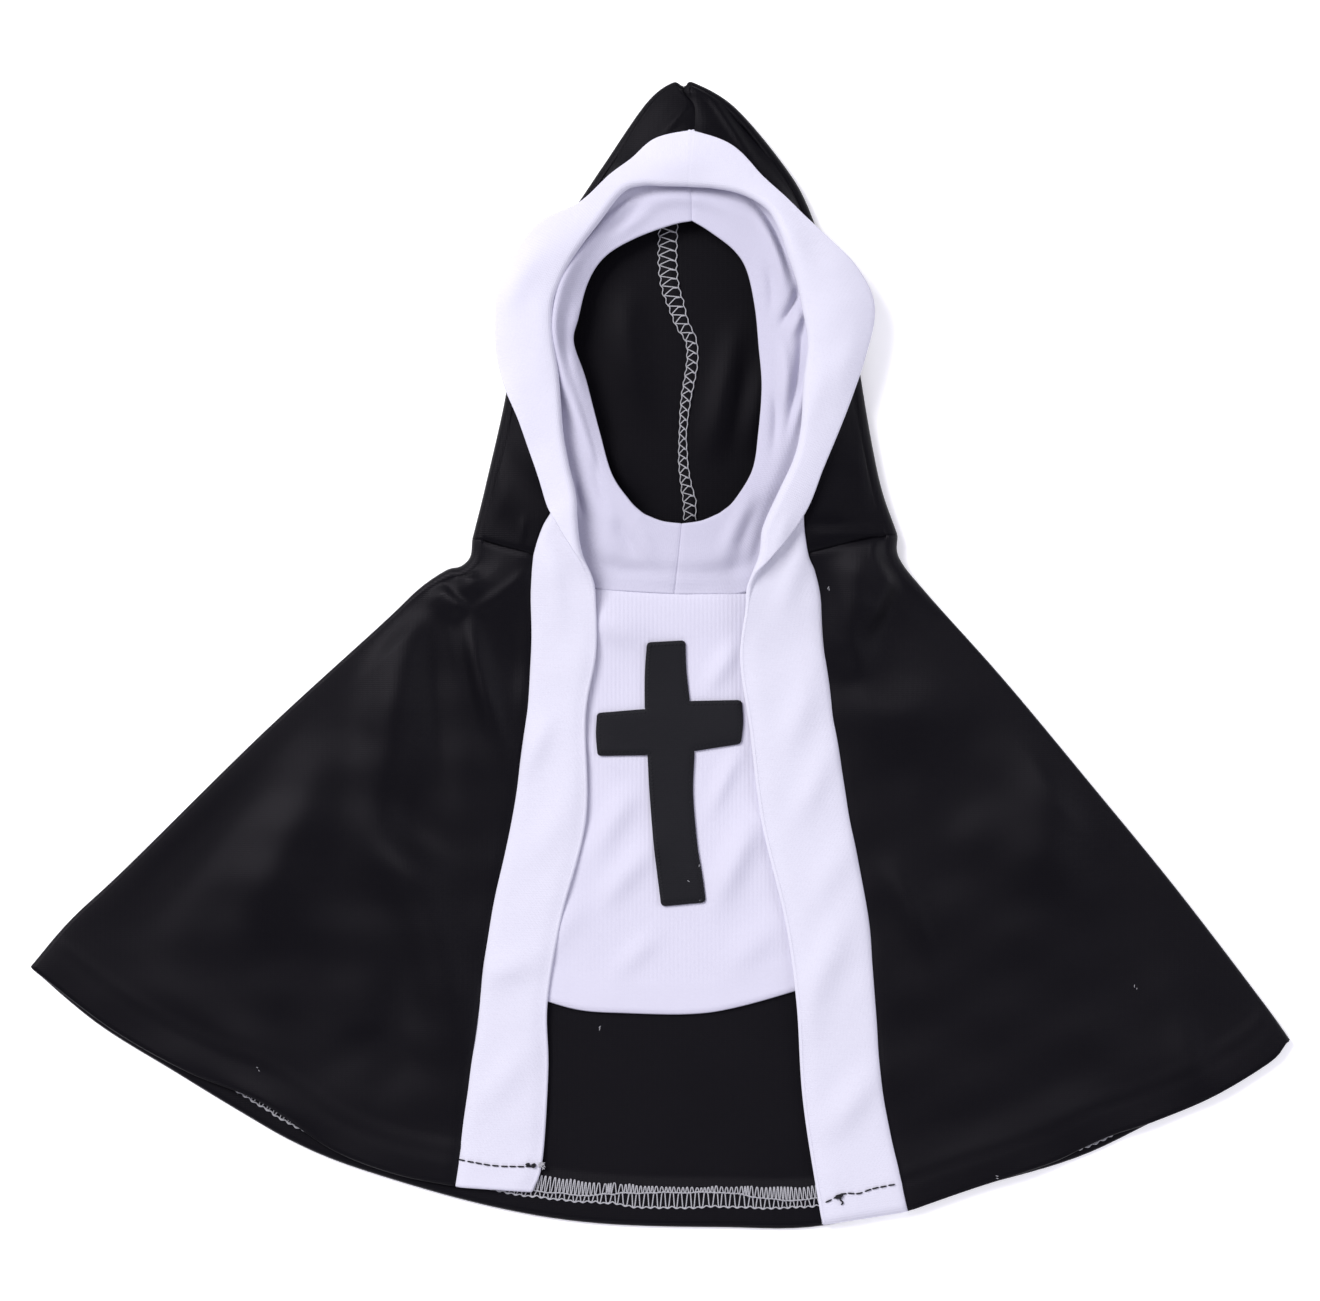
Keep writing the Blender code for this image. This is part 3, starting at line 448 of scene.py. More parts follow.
# Sections of the face ring, from the top centre to the bottom centre: the inner
# edge at the face, the crest beside the band's roll, each X, Y and Z, and the root
# under the band, X and Y and how far it lies below the band's seam
LEFT_COIF = [
    (9.45, 129.8, 7.4, 9.25, 136.5, 8, 8.8, 144.8, 1.7),
    (3.5, 128.6, 7.4, 1.8, 136.4, 8.2, 0.3, 144, 1.7),
    (-7.3, 124.7, 7.4, -9.6, 133.6, 8.8, -12.4, 139.2, 1.7),
    (-16.5, 119.2, 7.4, -20.5, 124.3, 9.8, -23.6, 128.2, 1.7),
    (-21.7, 111.6, 7.2, -28.9, 112.4, 11.5, -34, 113.4, 1.7),
    (-24.8, 100.6, 7.2, -31.5, 100.8, 11.9, -36.9, 100.6, 1.7),
    (-26.2, 93, 7.2, -31.1, 92, 11.9, -36.4, 91, 1.7),
    (-22.6, 82, 7.4, -28.3, 80.4, 11.5, -34.8, 79, 1.7),
    (-18.6, 67, 7.8, -23.5, 66, 10.5, -33.8, 63, 1.7),
    (-14.8, 53.8, 8.2, -19.6, 52.6, 9.4, -32.2, 50, 1.7),
    (-9.5, 45.8, 8.6, -16, 41, 8.8, -33.4, 36.4, 1.8),
    (-6, 42.3, 8.8, -15, 32.6, 7.8, -28.4, 23.6, 1.3),
    (-3.6, 40.9, 8.8, -9.8, 29.6, 7.3, -19.4, 19.6, 1.2),
    (0.8, 39.3, 8.8, -2.4, 28.6, 7.1, -7, 18.5, 1.2),
    (6.35, 38.6, 8.8, 5.35, 28.2, 7, 4.15, 17.9, 1.2),
]

RIGHT_COIF = [
    (9.55, 129.8, 7.4, 9.35, 136.5, 8, 8.85, 144.8, 1.7),
    (14.8, 126.6, 7.4, 16.6, 135.8, 8.2, 17.6, 143.2, 1.7),
    (22.2, 120.9, 7.4, 28.8, 130.6, 9, 33.4, 134.2, 1.7),
    (26.2, 114.5, 7.2, 34.8, 118.2, 9.6, 41.2, 120.6, 1.7),
    (28.6, 103.4, 7.2, 39.2, 103.4, 9.8, 46.6, 103.4, 1.7),
    (29.7, 92, 7.4, 40.8, 92.2, 9.6, 47.8, 91.9, 1.7),
    (30.6, 80, 7.6, 39.6, 80, 9.4, 46.6, 80, 1.7),
    (29.6, 66.2, 7.8, 38.8, 66.6, 9, 46.2, 66.4, 1.7),
    (27.8, 54.9, 8.2, 34.8, 54.4, 8.8, 44.6, 53.4, 1.7),
    (22.6, 46, 8.6, 28.4, 40.8, 8.4, 41.4, 36.4, 1.8),
    (19, 42.6, 8.8, 24, 32.2, 7.6, 33, 22.4, 1.3),
    (16.2, 41, 8.8, 19.4, 29.6, 7.2, 24.6, 18.2, 1.2),
    (12, 39.4, 8.8, 13.4, 28.4, 7.1, 15.4, 17.9, 1.2),
    (6.45, 38.6, 8.8, 5.45, 28.2, 7, 4.25, 17.8, 1.2),
]

# What the two sides of the garment are made of; turn is +1 for the right side
Side = namedtuple("Side", "turn band neck_section cape_side hem hood_side coif front_seed")

LEFT = Side(-1, LEFT_BAND, LEFT_NECK_SECTION, CAPE_LEFT_SIDE, CAPE_LEFT_HEM,
            HOOD_LEFT_SIDE, LEFT_COIF, LEFT_FRONT_SEED)
RIGHT = Side(1, RIGHT_BAND, RIGHT_NECK_SECTION, CAPE_RIGHT_SIDE, CAPE_RIGHT_HEM,
             HOOD_RIGHT_SIDE, RIGHT_COIF, RIGHT_FRONT_SEED)

# The bib, in plan: its top edge, its sides and its curved lower edge
BIB_TOP = [(-28, 19.6), (-19.4, 19.2), (-7, 18.3), (4.2, 17.7), (15.4, 17.7), (33, 17.8)]
BIB_LEFT = [(-28, 19.6), (-27.5, -15), (-31, -55), (-41, -102)]
BIB_RIGHT = [(33, 17.8), (33, -12), (39, -55), (48, -99)]
BIB_BOTTOM = [(-41, -102), (-25.2, -106.7), (-10.6, -107.8), (8.9, -108.1),
              (23.6, -105.9), (48, -99)]

# The cross: X and Y of the left and the right edge of its stem, from top to bottom,
# the sections of the stem between which its arms lie, and the arms' outer ends
CROSS_STEM = [
    (-3.8, 3, 7.3, 3.6),
    (-4.4, -6, 7.6, -5.4),
    (-4.4, -17, 8.6, -14.6),
    (-3.9, -23.6, 9.2, -22),
    (-3.6, -30.4, 10, -29.2),
    (-3, -42, 9.6, -42),
    (-1.8, -57, 10.8, -57),
    (-0.6, -67, 12.4, -67),
    (0.5, -75.8, 13.4, -74.6),
]
CROSS_ARM_SECTIONS = (2, 4)
CROSS_LEFT_ARM = [(-18.8, -18.2), (-19.1, -24.6), (-18.6, -30.6)]
CROSS_RIGHT_ARM = [(24.2, -14.3), (24.6, -20.7), (24, -27)]

# Creases: a soft ridge, or a trough where the height is below zero, along the
# curve through three points in plan, fading out at both ends: the points, the width
# and the height
CAPE_CREASES = [
    (-75, 22, -80, -14, -87, -74, 8, 4.2),
    (-69, 14, -67.4, -12, -61, -64, 4.4, -1.6),
    (-65, 16, -61.6, 2, -58.5, -18, 1.8, 0.7),
    (-58.6, 15, -54.4, -5, -45, -40, 3.4, 3.2),
    (-44.6, 25, -43.8, 0, -44.5, -26, 3.8, -0.9),
    (-97, -22, -113.3, -60, -135, -104, 10, 4),
    (-98, -44, -70.6, -80, -62.1, -140, 8, 3.6),
    (-84, -38, -71, -52, -58, -66, 6.4, -1.3),
    (-128, -66, -108.1, -97, -93.1, -128, 8, -1.5),
    (-105.7, -128.8, -86.5, -118.2, -66.9, -131, 4.6, -1.5),
    (-166, -90, -141.1, -62.6, -108, -26, 7, -1.2),
    (-92, -56.6, -75, -65.4, -57, -76.2, 6.4, 0.9),
    (-77, -86, -80, -112, -84, -140, 5, -1.3),
    (-150, -98, -132, -112, -110, -122, 6, 1.2),
    (-152, -116, -121, -133, -86, -151, 4, 1.2),
    (-58.6, 30, -57.4, 22, -54, 14, 3.2, 1.6),
    (56, -15, 73, -17.4, 92, -10, 8, 3.2),
    (94, -12, 88, -44, 82, -74, 8, -1.3),
    (113.1, -12, 118.3, -44.6, 104.3, -90, 11, 3.4),
    (65.5, -60, 75.4, -77.6, 82, -98.5, 3.8, 1.6),
    (76, -157, 112, -145, 146, -129, 8, 0.5),
    (150, -96, 158, -118, 160, -138, 5, 1.3),
    (128, -64, 137, -90, 138, -124, 9, -1.3),
]

# Tucks: ridges that are steeper on one side. After the three points come the widths
# to the left and to the right of the way along the curve, and the height.
CAPE_TUCKS = [
    (-69.5, 25, -64.2, 17, -56.4, 12.4, 2, 4.4, 2),
    (-59, 11.4, -48.4, 17.6, -37, 27, 1.8, 3, 0.7),
    (63.6, 38, 57, 14, 58.6, -10, 5.4, 5.4, 2.3),
    (71, 38, 67.6, 22, 58.6, 2, 3.2, 8, 3.6),
]

HOOD_CREASES = [
    (10.6, 166.6, 5.6, 160.8, -1.4, 153.4, 1.3, 0.8),
    (11.4, 162.6, 10, 158.6, 8.6, 153.6, 3.2, -0.8),
    (12.6, 169.6, 21.4, 157.6, 31.6, 141, 1.3, 0.8),
    (17, 166, 25.4, 156.4, 33, 143, 2.8, -0.7),
    (8.4, 172, 10.4, 160, 8.7, 143, 5, 1.1),
    (6, 168.4, 10.4, 168.6, 15, 166.6, 1.8, 0.8),
    (4, 170, -2, 160, -10, 148, 5, 0.8),
    (-41.4, 42, -41.2, 37, -41.8, 31, 1.2, 0.5),
    (44, 35.8, 58, 36, 72, 37, 1.5, 1),
    (42, 38.8, 50, 38.6, 60, 38, 1.6, -0.7),
    (-52, 62, -48, 52, -48, 38, 3.6, 0.7),
    (56, 70, 60, 56, 64, 42, 3.4, 0.9),
]

HOOD_INSIDE_CREASES = [
    (-8, 112, -9.6, 92, -1, 64, 4.6, 1.6),
    (24, 104, 18.6, 76, 15, 56, 3.8, 1.7),
    (-18, 66, -12, 54, -4, 44, 4, 1.4),
    (32, 92, 29, 74, 26, 58, 3.6, 1.2),
]

BAND_CREASES = [
    (-45, 96, -43, 111, -31, 126, 4.4, 1.7),
    (-36, 110, -34.6, 98, -33, 84, 3.4, 0.7),
    (-48, 92, -43, 76, -36, 60, 4, 1),
    (-12, 151, -20, 141, -30, 133, 3.6, 0.8),
    (-6, 152, 4, 147, 18, 146, 3.8, 0.9),
    (29, 137, 40, 123, 44, 103, 4, 1.5),
    (62, 104, 56, 88, 50, 70, 4.2, 0.9),
    (50, 92, 46, 76, 40, 60, 3.4, 0.8),
    (40, 44, 35.6, 34, 32.6, 22, 2.4, 0.9),
    (44, 40, 40, 24, 34, 8, 3.6, 1.3),
    (-34, 36, -31.4, 20, -30, 4, 3.2, 1),
    (-32, -14, -37, -27, -43, -40, 3.8, 1.5),
    (-24, -34, -31, -50, -42, -66, 4.4, 0.9),
    (-57, -99, -46, -94, -34, -92, 4.6, 1.7),
    (-36, -112, -46, -126, -58, -140, 4.4, 1),
    (46, 4, 42, -18, 34, -36, 4.4, 1.2),
    (52, -24, 46, -40, 37, -54, 3.8, 1.3),
    (60, -52, 50, -68, 42, -82, 4.6, 1.2),
    (61, -70, 49, -94, 41, -122, 5, 1.9),
    (69, -118, 58, -134, 48, -148, 4.4, 1.6),
]

COIF_CREASES = [
    (-14, 131, -31, 106, -27, 70, 2.6, 1.8),
    (-16, 127, 8, 136.8, 32, 124, 2.6, 1.1),
    (-15, 26, 4.6, 23.6, 24, 25, 3.4, 1.1),
    (-21, 110, -26.4, 93, -19.6, 70, 2.2, 2),
    (-3, 137.6, -10.6, 131, -20.6, 125, 2.4, -1.6),
    (-1, 134, -8, 129.6, -17, 123, 2, 0.8),
    (22, 138, 32, 130.6, 38.6, 112, 1.5, -2),
    (26, 134, 34.4, 121, 37.4, 104, 1.5, 1.4),
    (42.4, 111.6, 39.4, 104, 35, 97, 1.3, -2.6),
    (44, 104, 41.4, 100, 38.4, 93, 1.2, 1.6),
    (43.2, 106, 44.4, 88, 38.4, 62, 1.3, 2.2),
    (41.2, 102, 41.2, 84, 36, 60, 1.4, -2.2),
    (35.5, 97, 37.4, 84, 35.6, 70, 1.5, 1.3),
    (33.8, 80, 34.6, 70, 33, 56, 1.5, -1.2),
    (31, 118, 33.4, 110, 32.6, 98, 1.6, -0.9),
    (-29.8, 82, -27.2, 72, -24, 58, 1.4, -1.1),
    (-31.4, 108, -32, 98, -29.4, 86, 1.6, 1),
    (-25.8, 55, -24.4, 47, -22, 39, 1.1, -1),
    (-20, 62, -18.6, 50, -14, 40, 1.6, -1.1),
    (-14, 41, -10.4, 34.4, -5.4, 27, 2.2, -0.9),
    (-9, 41, -4.6, 33, -1, 24, 2.4, 0.7),
    (34.6, 52, 26, 37, 21.4, 22, 2.6, -1.3),
    (29, 50, 22.6, 38, 17.6, 26, 2.2, 0.9),
    (38, 52, 31, 38, 28.4, 22, 2, -1.1),
]

BIB_CREASES = [
    (-27, 14, -14, 8, -1, 4, 5.4, 2.2),
    (24, 6, 18.4, -4, 12.6, -14, 3, 1.4),
    (-26, -24, -14, -32, -4, -38, 3.8, 0.9),
    (-4, -38, -14, -50, -22, -66, 4.2, 1.7),
    (2, -54, -10, -66, -20, -80, 4, 1.6),
    (25, -26, 19.4, -38, 13, -52, 2.6, 1.4),
    (33, -44, 23, -61, 15, -82, 4.4, 2.7),
    (-20, -72, -29, -82, -38, -94, 4.4, 1.1),
    (2, -82, -7, -90, -16, -99, 3.4, 1.1),
    (38, -76, 28, -88, 16, -98, 4.4, 1),
]

# Black stitches across the band's lower ends, from left to right
LEFT_BAND_STITCH = [(-60.6, -151.9), (-56.2, -152.7), (-50, -153.8), (-44.3, -154),
                    (-36.7, -154.1)]
RIGHT_BAND_STITCH = [(49.5, -164.9), (51.8, -163.8), (54.5, -162.2), (59.3, -162.2),
                     (62.6, -161.1), (67.1, -160), (72.4, -159.2)]

# The hem's overlocking, from left to right: X, and how far its foot, middle and top
# are from the hem
HEM_STITCHES = [
    (-150, 5, 7.6, 11.4),
    (-118, 3.9, 6.6, 10.6),
    (-108, 4, 6.6, 10.6),
    (-90, 5, 7.4, 11.4),
    (-46.7, 4.6, 6.3, 11),
    (-34, 5.2, 6.9, 11.6),
    (-22, 5.6, 7.6, 11.7),
    (-14.5, 5.9, 8.6, 11.8),
    (-8, 5.2, 9.2, 11.6),
    (-0.8, 5, 9.6, 11.4),
    (18.7, 5.6, 9.8, 11.6),
    (28, 5.6, 8.8, 11.8),
    (38, 5.7, 7.9, 11.8),
    (49, 5.5, 7.8, 11.6),
    (110, 5, 7.6, 11.4),
    (121, 1.5, 6.4, 10.4),
    (136, 1.3, 6.4, 10.4),
    (150, 5, 7.6, 11.4),
]

# The seam inside the hood: X and Y of its middle, and the width of its overlocking
HOOD_SEAM = [
    (2.3, 131, 5.7),
    (2.3, 120, 5.7),
    (2.4, 114.3, 5.6),
    (3.8, 107.4, 5.3),
    (6.5, 99.3, 4.2),
    (9.2, 93.6, 3.4),
    (9.5, 86.7, 3.4),
    (8.3, 79.8, 3.2),
    (7.3, 72.9, 2.7),
    (6.8, 66, 2.2),
    (6.8, 59.3, 2.7),
    (7.4, 52.4, 3.1),
    (8.8, 45.5, 3.9),
    (8.9, 38, 3.6),
]

# Tangled threads: their middle, radius and number of loops
LEFT_TANGLES = [((-38.0, -153.8), 0.55, 3), ((-39.7, -153.5), 0.5, 3)]
RIGHT_TANGLE = ((53.6, -163.2), 0.9, 4)
KNOT_TANGLE = ((-35.6, -153.6), 0.9, 7)
RIGHT_TAIL = [(54.5, -162.6), (54.0, -164.0), (54.8, -164.8), (54.2, -165.6)]

# Loose ends: their middle, number and length, and for the lint the cloth it lies on
KNOT_ENDS = ((-35.2, -153.8), 5, 1.5)
LINT = [
    ((-18.0, -111.8), 2, 1.1, "left_band"),
    ((-121.2, -125.0), 2, 1.1, "left_front"),
    ((142.8, -100.4), 2, 1.1, "right_front"),
    ((101.0, -157.4), 2, 1.1, "right_front"),
    ((50.4, 19.3), 2, 1.1, "right_front"),
    ((8.5, -68.7), 1, 1.0, "cross"),
    ((10.6, -72.9), 1, 1.0, "cross"),
    ((12.0, -74.0), 1, 1.0, "cross"),
    ((11.2, -63.8), 1, 1.0, "cross"),
]


# Curves

def steps(count):
    """Shares from 0 to 1 in equal steps."""
    return np.linspace(0, 1, count + 1)


def ease(share):
    """A smooth step from 0 to 1."""
    share = np.clip(share, 0, 1)
    return share * share * (3 - 2 * share)


def bell(away, width):
    """A smooth bump, 1 in its middle."""
    return np.exp(-(away / width) ** 2)


def dent(away, depth_and_width):
    """Depth of a dent at a distance from its middle."""
    depth, width = depth_and_width
    return depth * bell(away, width)


def size(vectors):
    """Length of each vector."""
    return np.linalg.norm(vectors, axis=-1)


def unit(vectors):
    """Vectors of a length of one."""
    return vectors / np.maximum(size(vectors)[..., None], 1e-9)


def distances(curve):
    """How far along a line of points each of them lies."""
    return np.concatenate([[0.0], np.cumsum(size(np.diff(curve, axis=0)))])


def rows_at(wanted, places, rows):
    """Rows in between those given, each of which has its place."""
    return np.stack([np.interp(wanted, places, column) for column in rows.T], axis=-1)


def smooth_rows(rows, per_span):
    """Rows in between those given, on a curve through all of them."""
    rows = np.array(rows, dtype=float)
    padded = np.vstack([2 * rows[0] - rows[1], rows, 2 * rows[-1] - rows[-2]])
    t = (np.arange(per_span) / per_span)[:, None]
    spans = []
    for before, start, end, after in zip(padded, padded[1:], padded[2:], padded[3:]):
        linear = end - before
        square = 2 * before - 5 * start + 4 * end - after
        cube = 3 * start - before - 3 * end + after
        spans.append(start + (linear * t + square * t ** 2 + cube * t ** 3) / 2)
    return np.vstack(spans + [rows[-1:]])


def spaced(curve, shares):
    """Points at the given shares of the length of a line of points."""
    travelled = distances(curve)
    return rows_at(shares * travelled[-1], travelled, curve)


def along(points, shares):
    """Points at the given shares of the length of a smooth curve."""
    return spaced(smooth_rows(points, LINE_POINTS), shares)


def outward_in_plan(points, turn):
    """Unit vectors square to a line in plan; turn is +1 for its left side."""
    tangent = unit(np.gradient(points[:, :2], axis=0))
    return turn * np.column_stack([-tangent[:, 1], tangent[:, 0]])


def patch(start_side, end_side, first_edge, last_edge, rows, columns):
    """Plan points between four outlines that meet at their corners."""
    down = steps(rows) ** ROW_CROWDING
    u = steps(columns)[None, :, None]
    v = down[:, None, None]
    across = (1 - u) * along(start_side, down)[:, None] + u * along(end_side, down)[:, None]
    edges = [along(edge, steps(columns))[None] for edge in (first_edge, last_edge)]
    return across + (1 - v) * (edges[0] - across[:1]) + v * (edges[1] - across[-1:])


def smooth_between(x, table):
    """Values between the pairs of a table, on a curve that doesn't overshoot."""
    xs, ys = np.array(table, dtype=float).T
    slopes = np.diff(ys) / np.diff(xs)
    product = slopes[1:] * slopes[:-1]
    level = product <= 0
    tangents = np.zeros(len(xs))
    tangents[1:-1] = np.where(level, 0, 2 * product / np.where(level, 1, slopes[1:] + slopes[:-1]))
    index = np.clip(np.searchsorted(xs, x) - 1, 0, len(xs) - 2)
    width = xs[index + 1] - xs[index]
    t = np.clip((x - xs[index]) / width, 0, 1)
    return (ys[index] * (1 + 2 * t) * (1 - t) ** 2 + ys[index + 1] * t ** 2 * (3 - 2 * t)
            + width * t * (1 - t) * (tangents[index] * (1 - t) - tangents[index + 1] * t))


def seam_height(up):
    """Height of the seam along the band."""
    return smooth_between(up, SEAM_HEIGHTS)


# Relief

def fade_ends(share, part):
    """1 along a path, and down to 0 over this part of it at both ends."""
    return ease(share / part) * ease((1 - share) / part)


def crease_path(crease, step):
    """Points along a crease or a tuck, at about this step."""
    start, middle, end = np.reshape(crease[:6], (3, 2))
    control = 2 * middle - (start + end) / 2
    count = int(np.ceil((size(middle - start) + size(end - middle)) / step))
    t = steps(count)[:, None]
    return (1 - t) ** 2 * start + 2 * t * (1 - t) * control + t ** 2 * end


def one_crease(plan, crease):
    """Height that one crease adds at each plan point: small mounds along its path."""
    width, height = crease[6:]
    path = crease_path(crease, CREASE_SPACING * width)
    spacing = np.gradient(distances(path)) / (np.sqrt(pi) * width)
    mounds = height * fade_ends(steps(len(path) - 1), CREASE_FADE) * spacing
    return sum(mound * bell(size(plan - place), width) for place, mound in zip(path, mounds))


def crease_height(plan, creases, from_fold=None):
    """Height that all the creases add at each point of a grid; a fold stays level."""
    flat = plan.reshape(-1, 2)
    total = np.zeros(len(flat))
    for crease in creases:
        width = crease[6]
        corners = np.reshape(crease[:6], (3, 2))
        reach = CREASE_REACH * width
        near = (flat > corners.min(axis=0) - reach) & (flat < corners.max(axis=0) + reach)
        near = np.all(near, axis=1)
        relief = one_crease(flat[near], crease)
        if from_fold is not None:
            relief *= ease(from_fold.ravel()[near] / max(width, CREASE_ROOM))
        total[near] += relief
    return total.reshape(plan.shape[:-1])


def tuck_height(plan, tuck):
    """Height that one tuck adds at each point of a grid."""
    left_width, right_width, height = tuck[6:]
    flat = plan.reshape(-1, 2)
    path = crease_path(tuck, TUCK_SPACING)
    away = flat[:, None] - path
    nearest = np.argmin(size(away), axis=1)
    offset = away[np.arange(len(flat)), nearest]
    tangent = np.gradient(path, axis=0)[nearest]
    to_left = tangent[:, 0] * offset[:, 1] > tangent[:, 1] * offset[:, 0]
    width = np.where(to_left, left_width, right_width)
    fade = fade_ends(nearest / (len(path) - 1), TUCK_FADE)
    return (height * fade * bell(size(offset), width)).reshape(plan.shape[:-1])


def fold_height(plan):
    """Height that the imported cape's largest folds add at each plan point."""
    total = np.zeros(plan.shape[:-1])
    for *ends, width, height in CAPE_FOLDS:
        start, end = np.reshape(ends, (2, 2))
        run = end - start
        share = np.clip((plan - start) @ run / (run @ run), 0, 1)[..., None]
        total += height * bell(size(plan - start - share * run), width)
    return total


def swell(plan, height, seed):
    """Slight unevenness of lying cloth: waves in many directions."""
    draw = np.random.default_rng(seed)
    total = np.zeros(plan.shape[:-1])
    for _ in range(SWELL_WAVES):
        heading = draw.uniform(0, pi)
        phase = draw.uniform(0, 2 * pi)
        length = SWELL_LENGTH * draw.uniform(*SWELL_LENGTHS)
        way = plan[..., 0] * np.cos(heading) + plan[..., 1] * np.sin(heading)
        total += np.sin(2 * pi * way / length + phase)
    return height * total / np.sqrt(SWELL_WAVES)


# Meshes

def grid_normals(points):
    """Unit normals of a grid of points."""
    return unit(np.cross(np.gradient(points, axis=0), np.gradient(points, axis=1)))


def grid_cells(numbers):
    """Corners of each cell of a grid of point numbers."""
    corners = [numbers[:-1, :-1], numbers[:-1, 1:], numbers[1:, 1:], numbers[1:, :-1]]
    return np.stack(corners, axis=-1)


def ring_faces(first, second):
    """Four-sided faces between two rings of points."""
    return np.stack([np.roll(first, -1), first, second, np.roll(second, -1)], axis=-1)


def signed_volume(vertices, faces):
    """Volume of a closed mesh, above zero where its faces point out."""
    a, b, c, d = (vertices[faces[:, corner]] for corner in range(4))
    return (np.sum(a * np.cross(b, c)) + np.sum(a * np.cross(c, d))) / 6


def add_object(name, data):
    """A new object in the scene."""
    thing = bpy.data.objects.new(name, data)
    bpy.context.scene.collection.objects.link(thing)
    return thing


def mesh_object(name, vertices, faces, cloth, material):
    """A smooth object of four-sided faces; cloth gives each point's place in its knit."""
    if signed_volume(vertices, faces) < 0:
        faces = faces[:, ::-1]
    placed = (vertices + np.array([0, TABLES_DROP, 0])) * MM
    mesh = bpy.data.meshes.new(name)
    mesh.from_pydata(placed.tolist(), [], faces.tolist())
    mesh.shade_smooth()
    mesh.materials.append(material)
    corners = np.empty(len(mesh.loops), dtype=np.int32)
    mesh.loops.foreach_get("vertex_index", corners)
    layer = mesh.uv_layers.new(name="knit")
    layer.uv.foreach_set("vector", cloth[corners].astype(np.float32).ravel())
    piece = add_object(name, mesh)
    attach(piece, "root")
    return piece


def closed_cloth(name, upper, lower, faces, rim, rounded, cloth, material):
    """A cloth of an upper and a lower side that meet at the rounded points of its rim."""
    count = len(upper)
    edge = 2 * count + np.arange(len(rim))
    all_faces = np.vstack([faces, faces[:, ::-1] + count, ring_faces(rim, edge),
                           ring_faces(edge, rim + count)])
    return mesh_object(name, np.vstack([upper, lower, rounded]), all_faces,
                       np.vstack([cloth, cloth, cloth[rim]]), material)


def shell(name, upper, lower, cloth, material):
    """A closed cloth between two grids of points, with a rounded rim."""
    numbers = np.arange(upper[..., 0].size).reshape(upper.shape[:2])
    rim = np.concatenate([numbers[0, :-1], numbers[:-1, -1], numbers[-1, :0:-1], numbers[:0:-1, 0]])
    middle = (upper + lower) / 2
    inner = np.pad(middle[1:-1, 1:-1], ((1, 1), (1, 1), (0, 0)), mode="edge")
    upper, lower, middle, inner = (side.reshape(-1, 3) for side in (upper, lower, middle, inner))
    thickness = size(upper[rim] - lower[rim])[:, None]
    rounded = middle[rim] + RIM_ROUNDING * thickness * unit(middle[rim] - inner[rim])
    return closed_cloth(name, upper, lower, grid_cells(numbers).reshape(-1, 4), rim, rounded,
                        cloth.reshape(-1, 2), material)


def tube_rings(path, radius):
    """Rings of points round a path."""
    tangent = unit(np.gradient(path, axis=0))
    side = unit(np.cross(tangent, (0.0, 0.0, 1.0)))
    up = np.cross(side, tangent)
    angles = np.linspace(0, 2 * pi, THREAD_SIDES, endpoint=False)[:, None]
    ring = np.cos(angles) * side[:, None] + np.sin(angles) * up[:, None]
    return path[:, None] + radius[:, None, None] * ring


def thread(name, paths, radius, material, pinched=True):
    """Sewing thread: a closed tube along each path, drawn in at its ends."""
    points = []
    faces = []
    places = []
    count = 0
    for path in paths:
        travelled = distances(path)
        share = travelled / travelled[-1]
        from_end = np.minimum(share, 1 - share) * len(path)
        drawn_in = np.sqrt(np.clip(from_end, THREAD_END_SIZE ** 2, 1)) if pinched else np.ones(len(path))
        rings = tube_rings(path, radius * drawn_in)
        numbers = count + np.arange(rings[..., 0].size).reshape(rings.shape[:2])
        faces += [ring_faces(first, second) for first, second in zip(numbers, numbers[1:])]
        faces += [numbers[0][THREAD_END], numbers[-1][THREAD_END][:, ::-1]]
        points.append(rings.reshape(-1, 3))
        round_thread = np.tile(np.arange(THREAD_SIDES) * THREAD_SIDE_STEP, len(path))
        places.append(np.column_stack([np.repeat(travelled, THREAD_SIDES), round_thread]))
        count += numbers.size
    return mesh_object(name, np.vstack(points), np.vstack(faces), np.vstack(places), material)


# White band

def band_section(row):
    """Middle points, normals and cloth distances, from the seam to the free edge."""
    seam_x, seam_y, heading, reach, flap, lift = row
    reach = reach + ROLL_ALLOWANCE - BAND_WALL / 2
    flap = flap + ROLL_ALLOWANCE + BAND_WALL / 2
    width = reach + flap
    cloth = width * steps(CURVE_STEPS)
    turned = np.clip((cloth - reach + ROLL_HALF_ARC) / (2 * ROLL_HALF_ARC), 0, 1)
    beyond = np.clip((cloth - reach) / max(flap, ROLL_HALF_ARC), 0, 1)
    arch = FLAP_ARCH_PER_MM * max(flap, 0) * (beyond - 0.5) * turned
    slopes = np.arcsin(lift / reach) + pi * turned + arch
    ways = np.column_stack([np.cos(slopes), np.sin(slopes)])
    moves = (ways[1:] + ways[:-1]) / 2 * width / CURVE_STEPS
    places = np.vstack([[0, 0], np.cumsum(moves, axis=0)])

    roll_start = min(reach - ROLL_HALF_ARC, ROLL_LATEST_START * width)
    roll_end = min(reach + ROLL_HALF_ARC, ROLL_LATEST_END * width)
    stops = np.interp(np.arange(BAND_COLUMNS[-1] + 1), BAND_COLUMNS, [0, roll_start, roll_end, width])
    inward, height, slope = rows_at(stops, cloth, np.column_stack([places, slopes])).T
    heading = np.radians(heading)
    way = (np.cos(heading), np.sin(heading), 0)
    up = (0, 0, 1)
    points = (seam_x, seam_y, seam_height(seam_y)) + np.outer(inward, way) + np.outer(height, up)
    normals = np.outer(np.cos(slope), up) - np.outer(np.sin(slope), way)
    return np.column_stack([points, normals, stops])


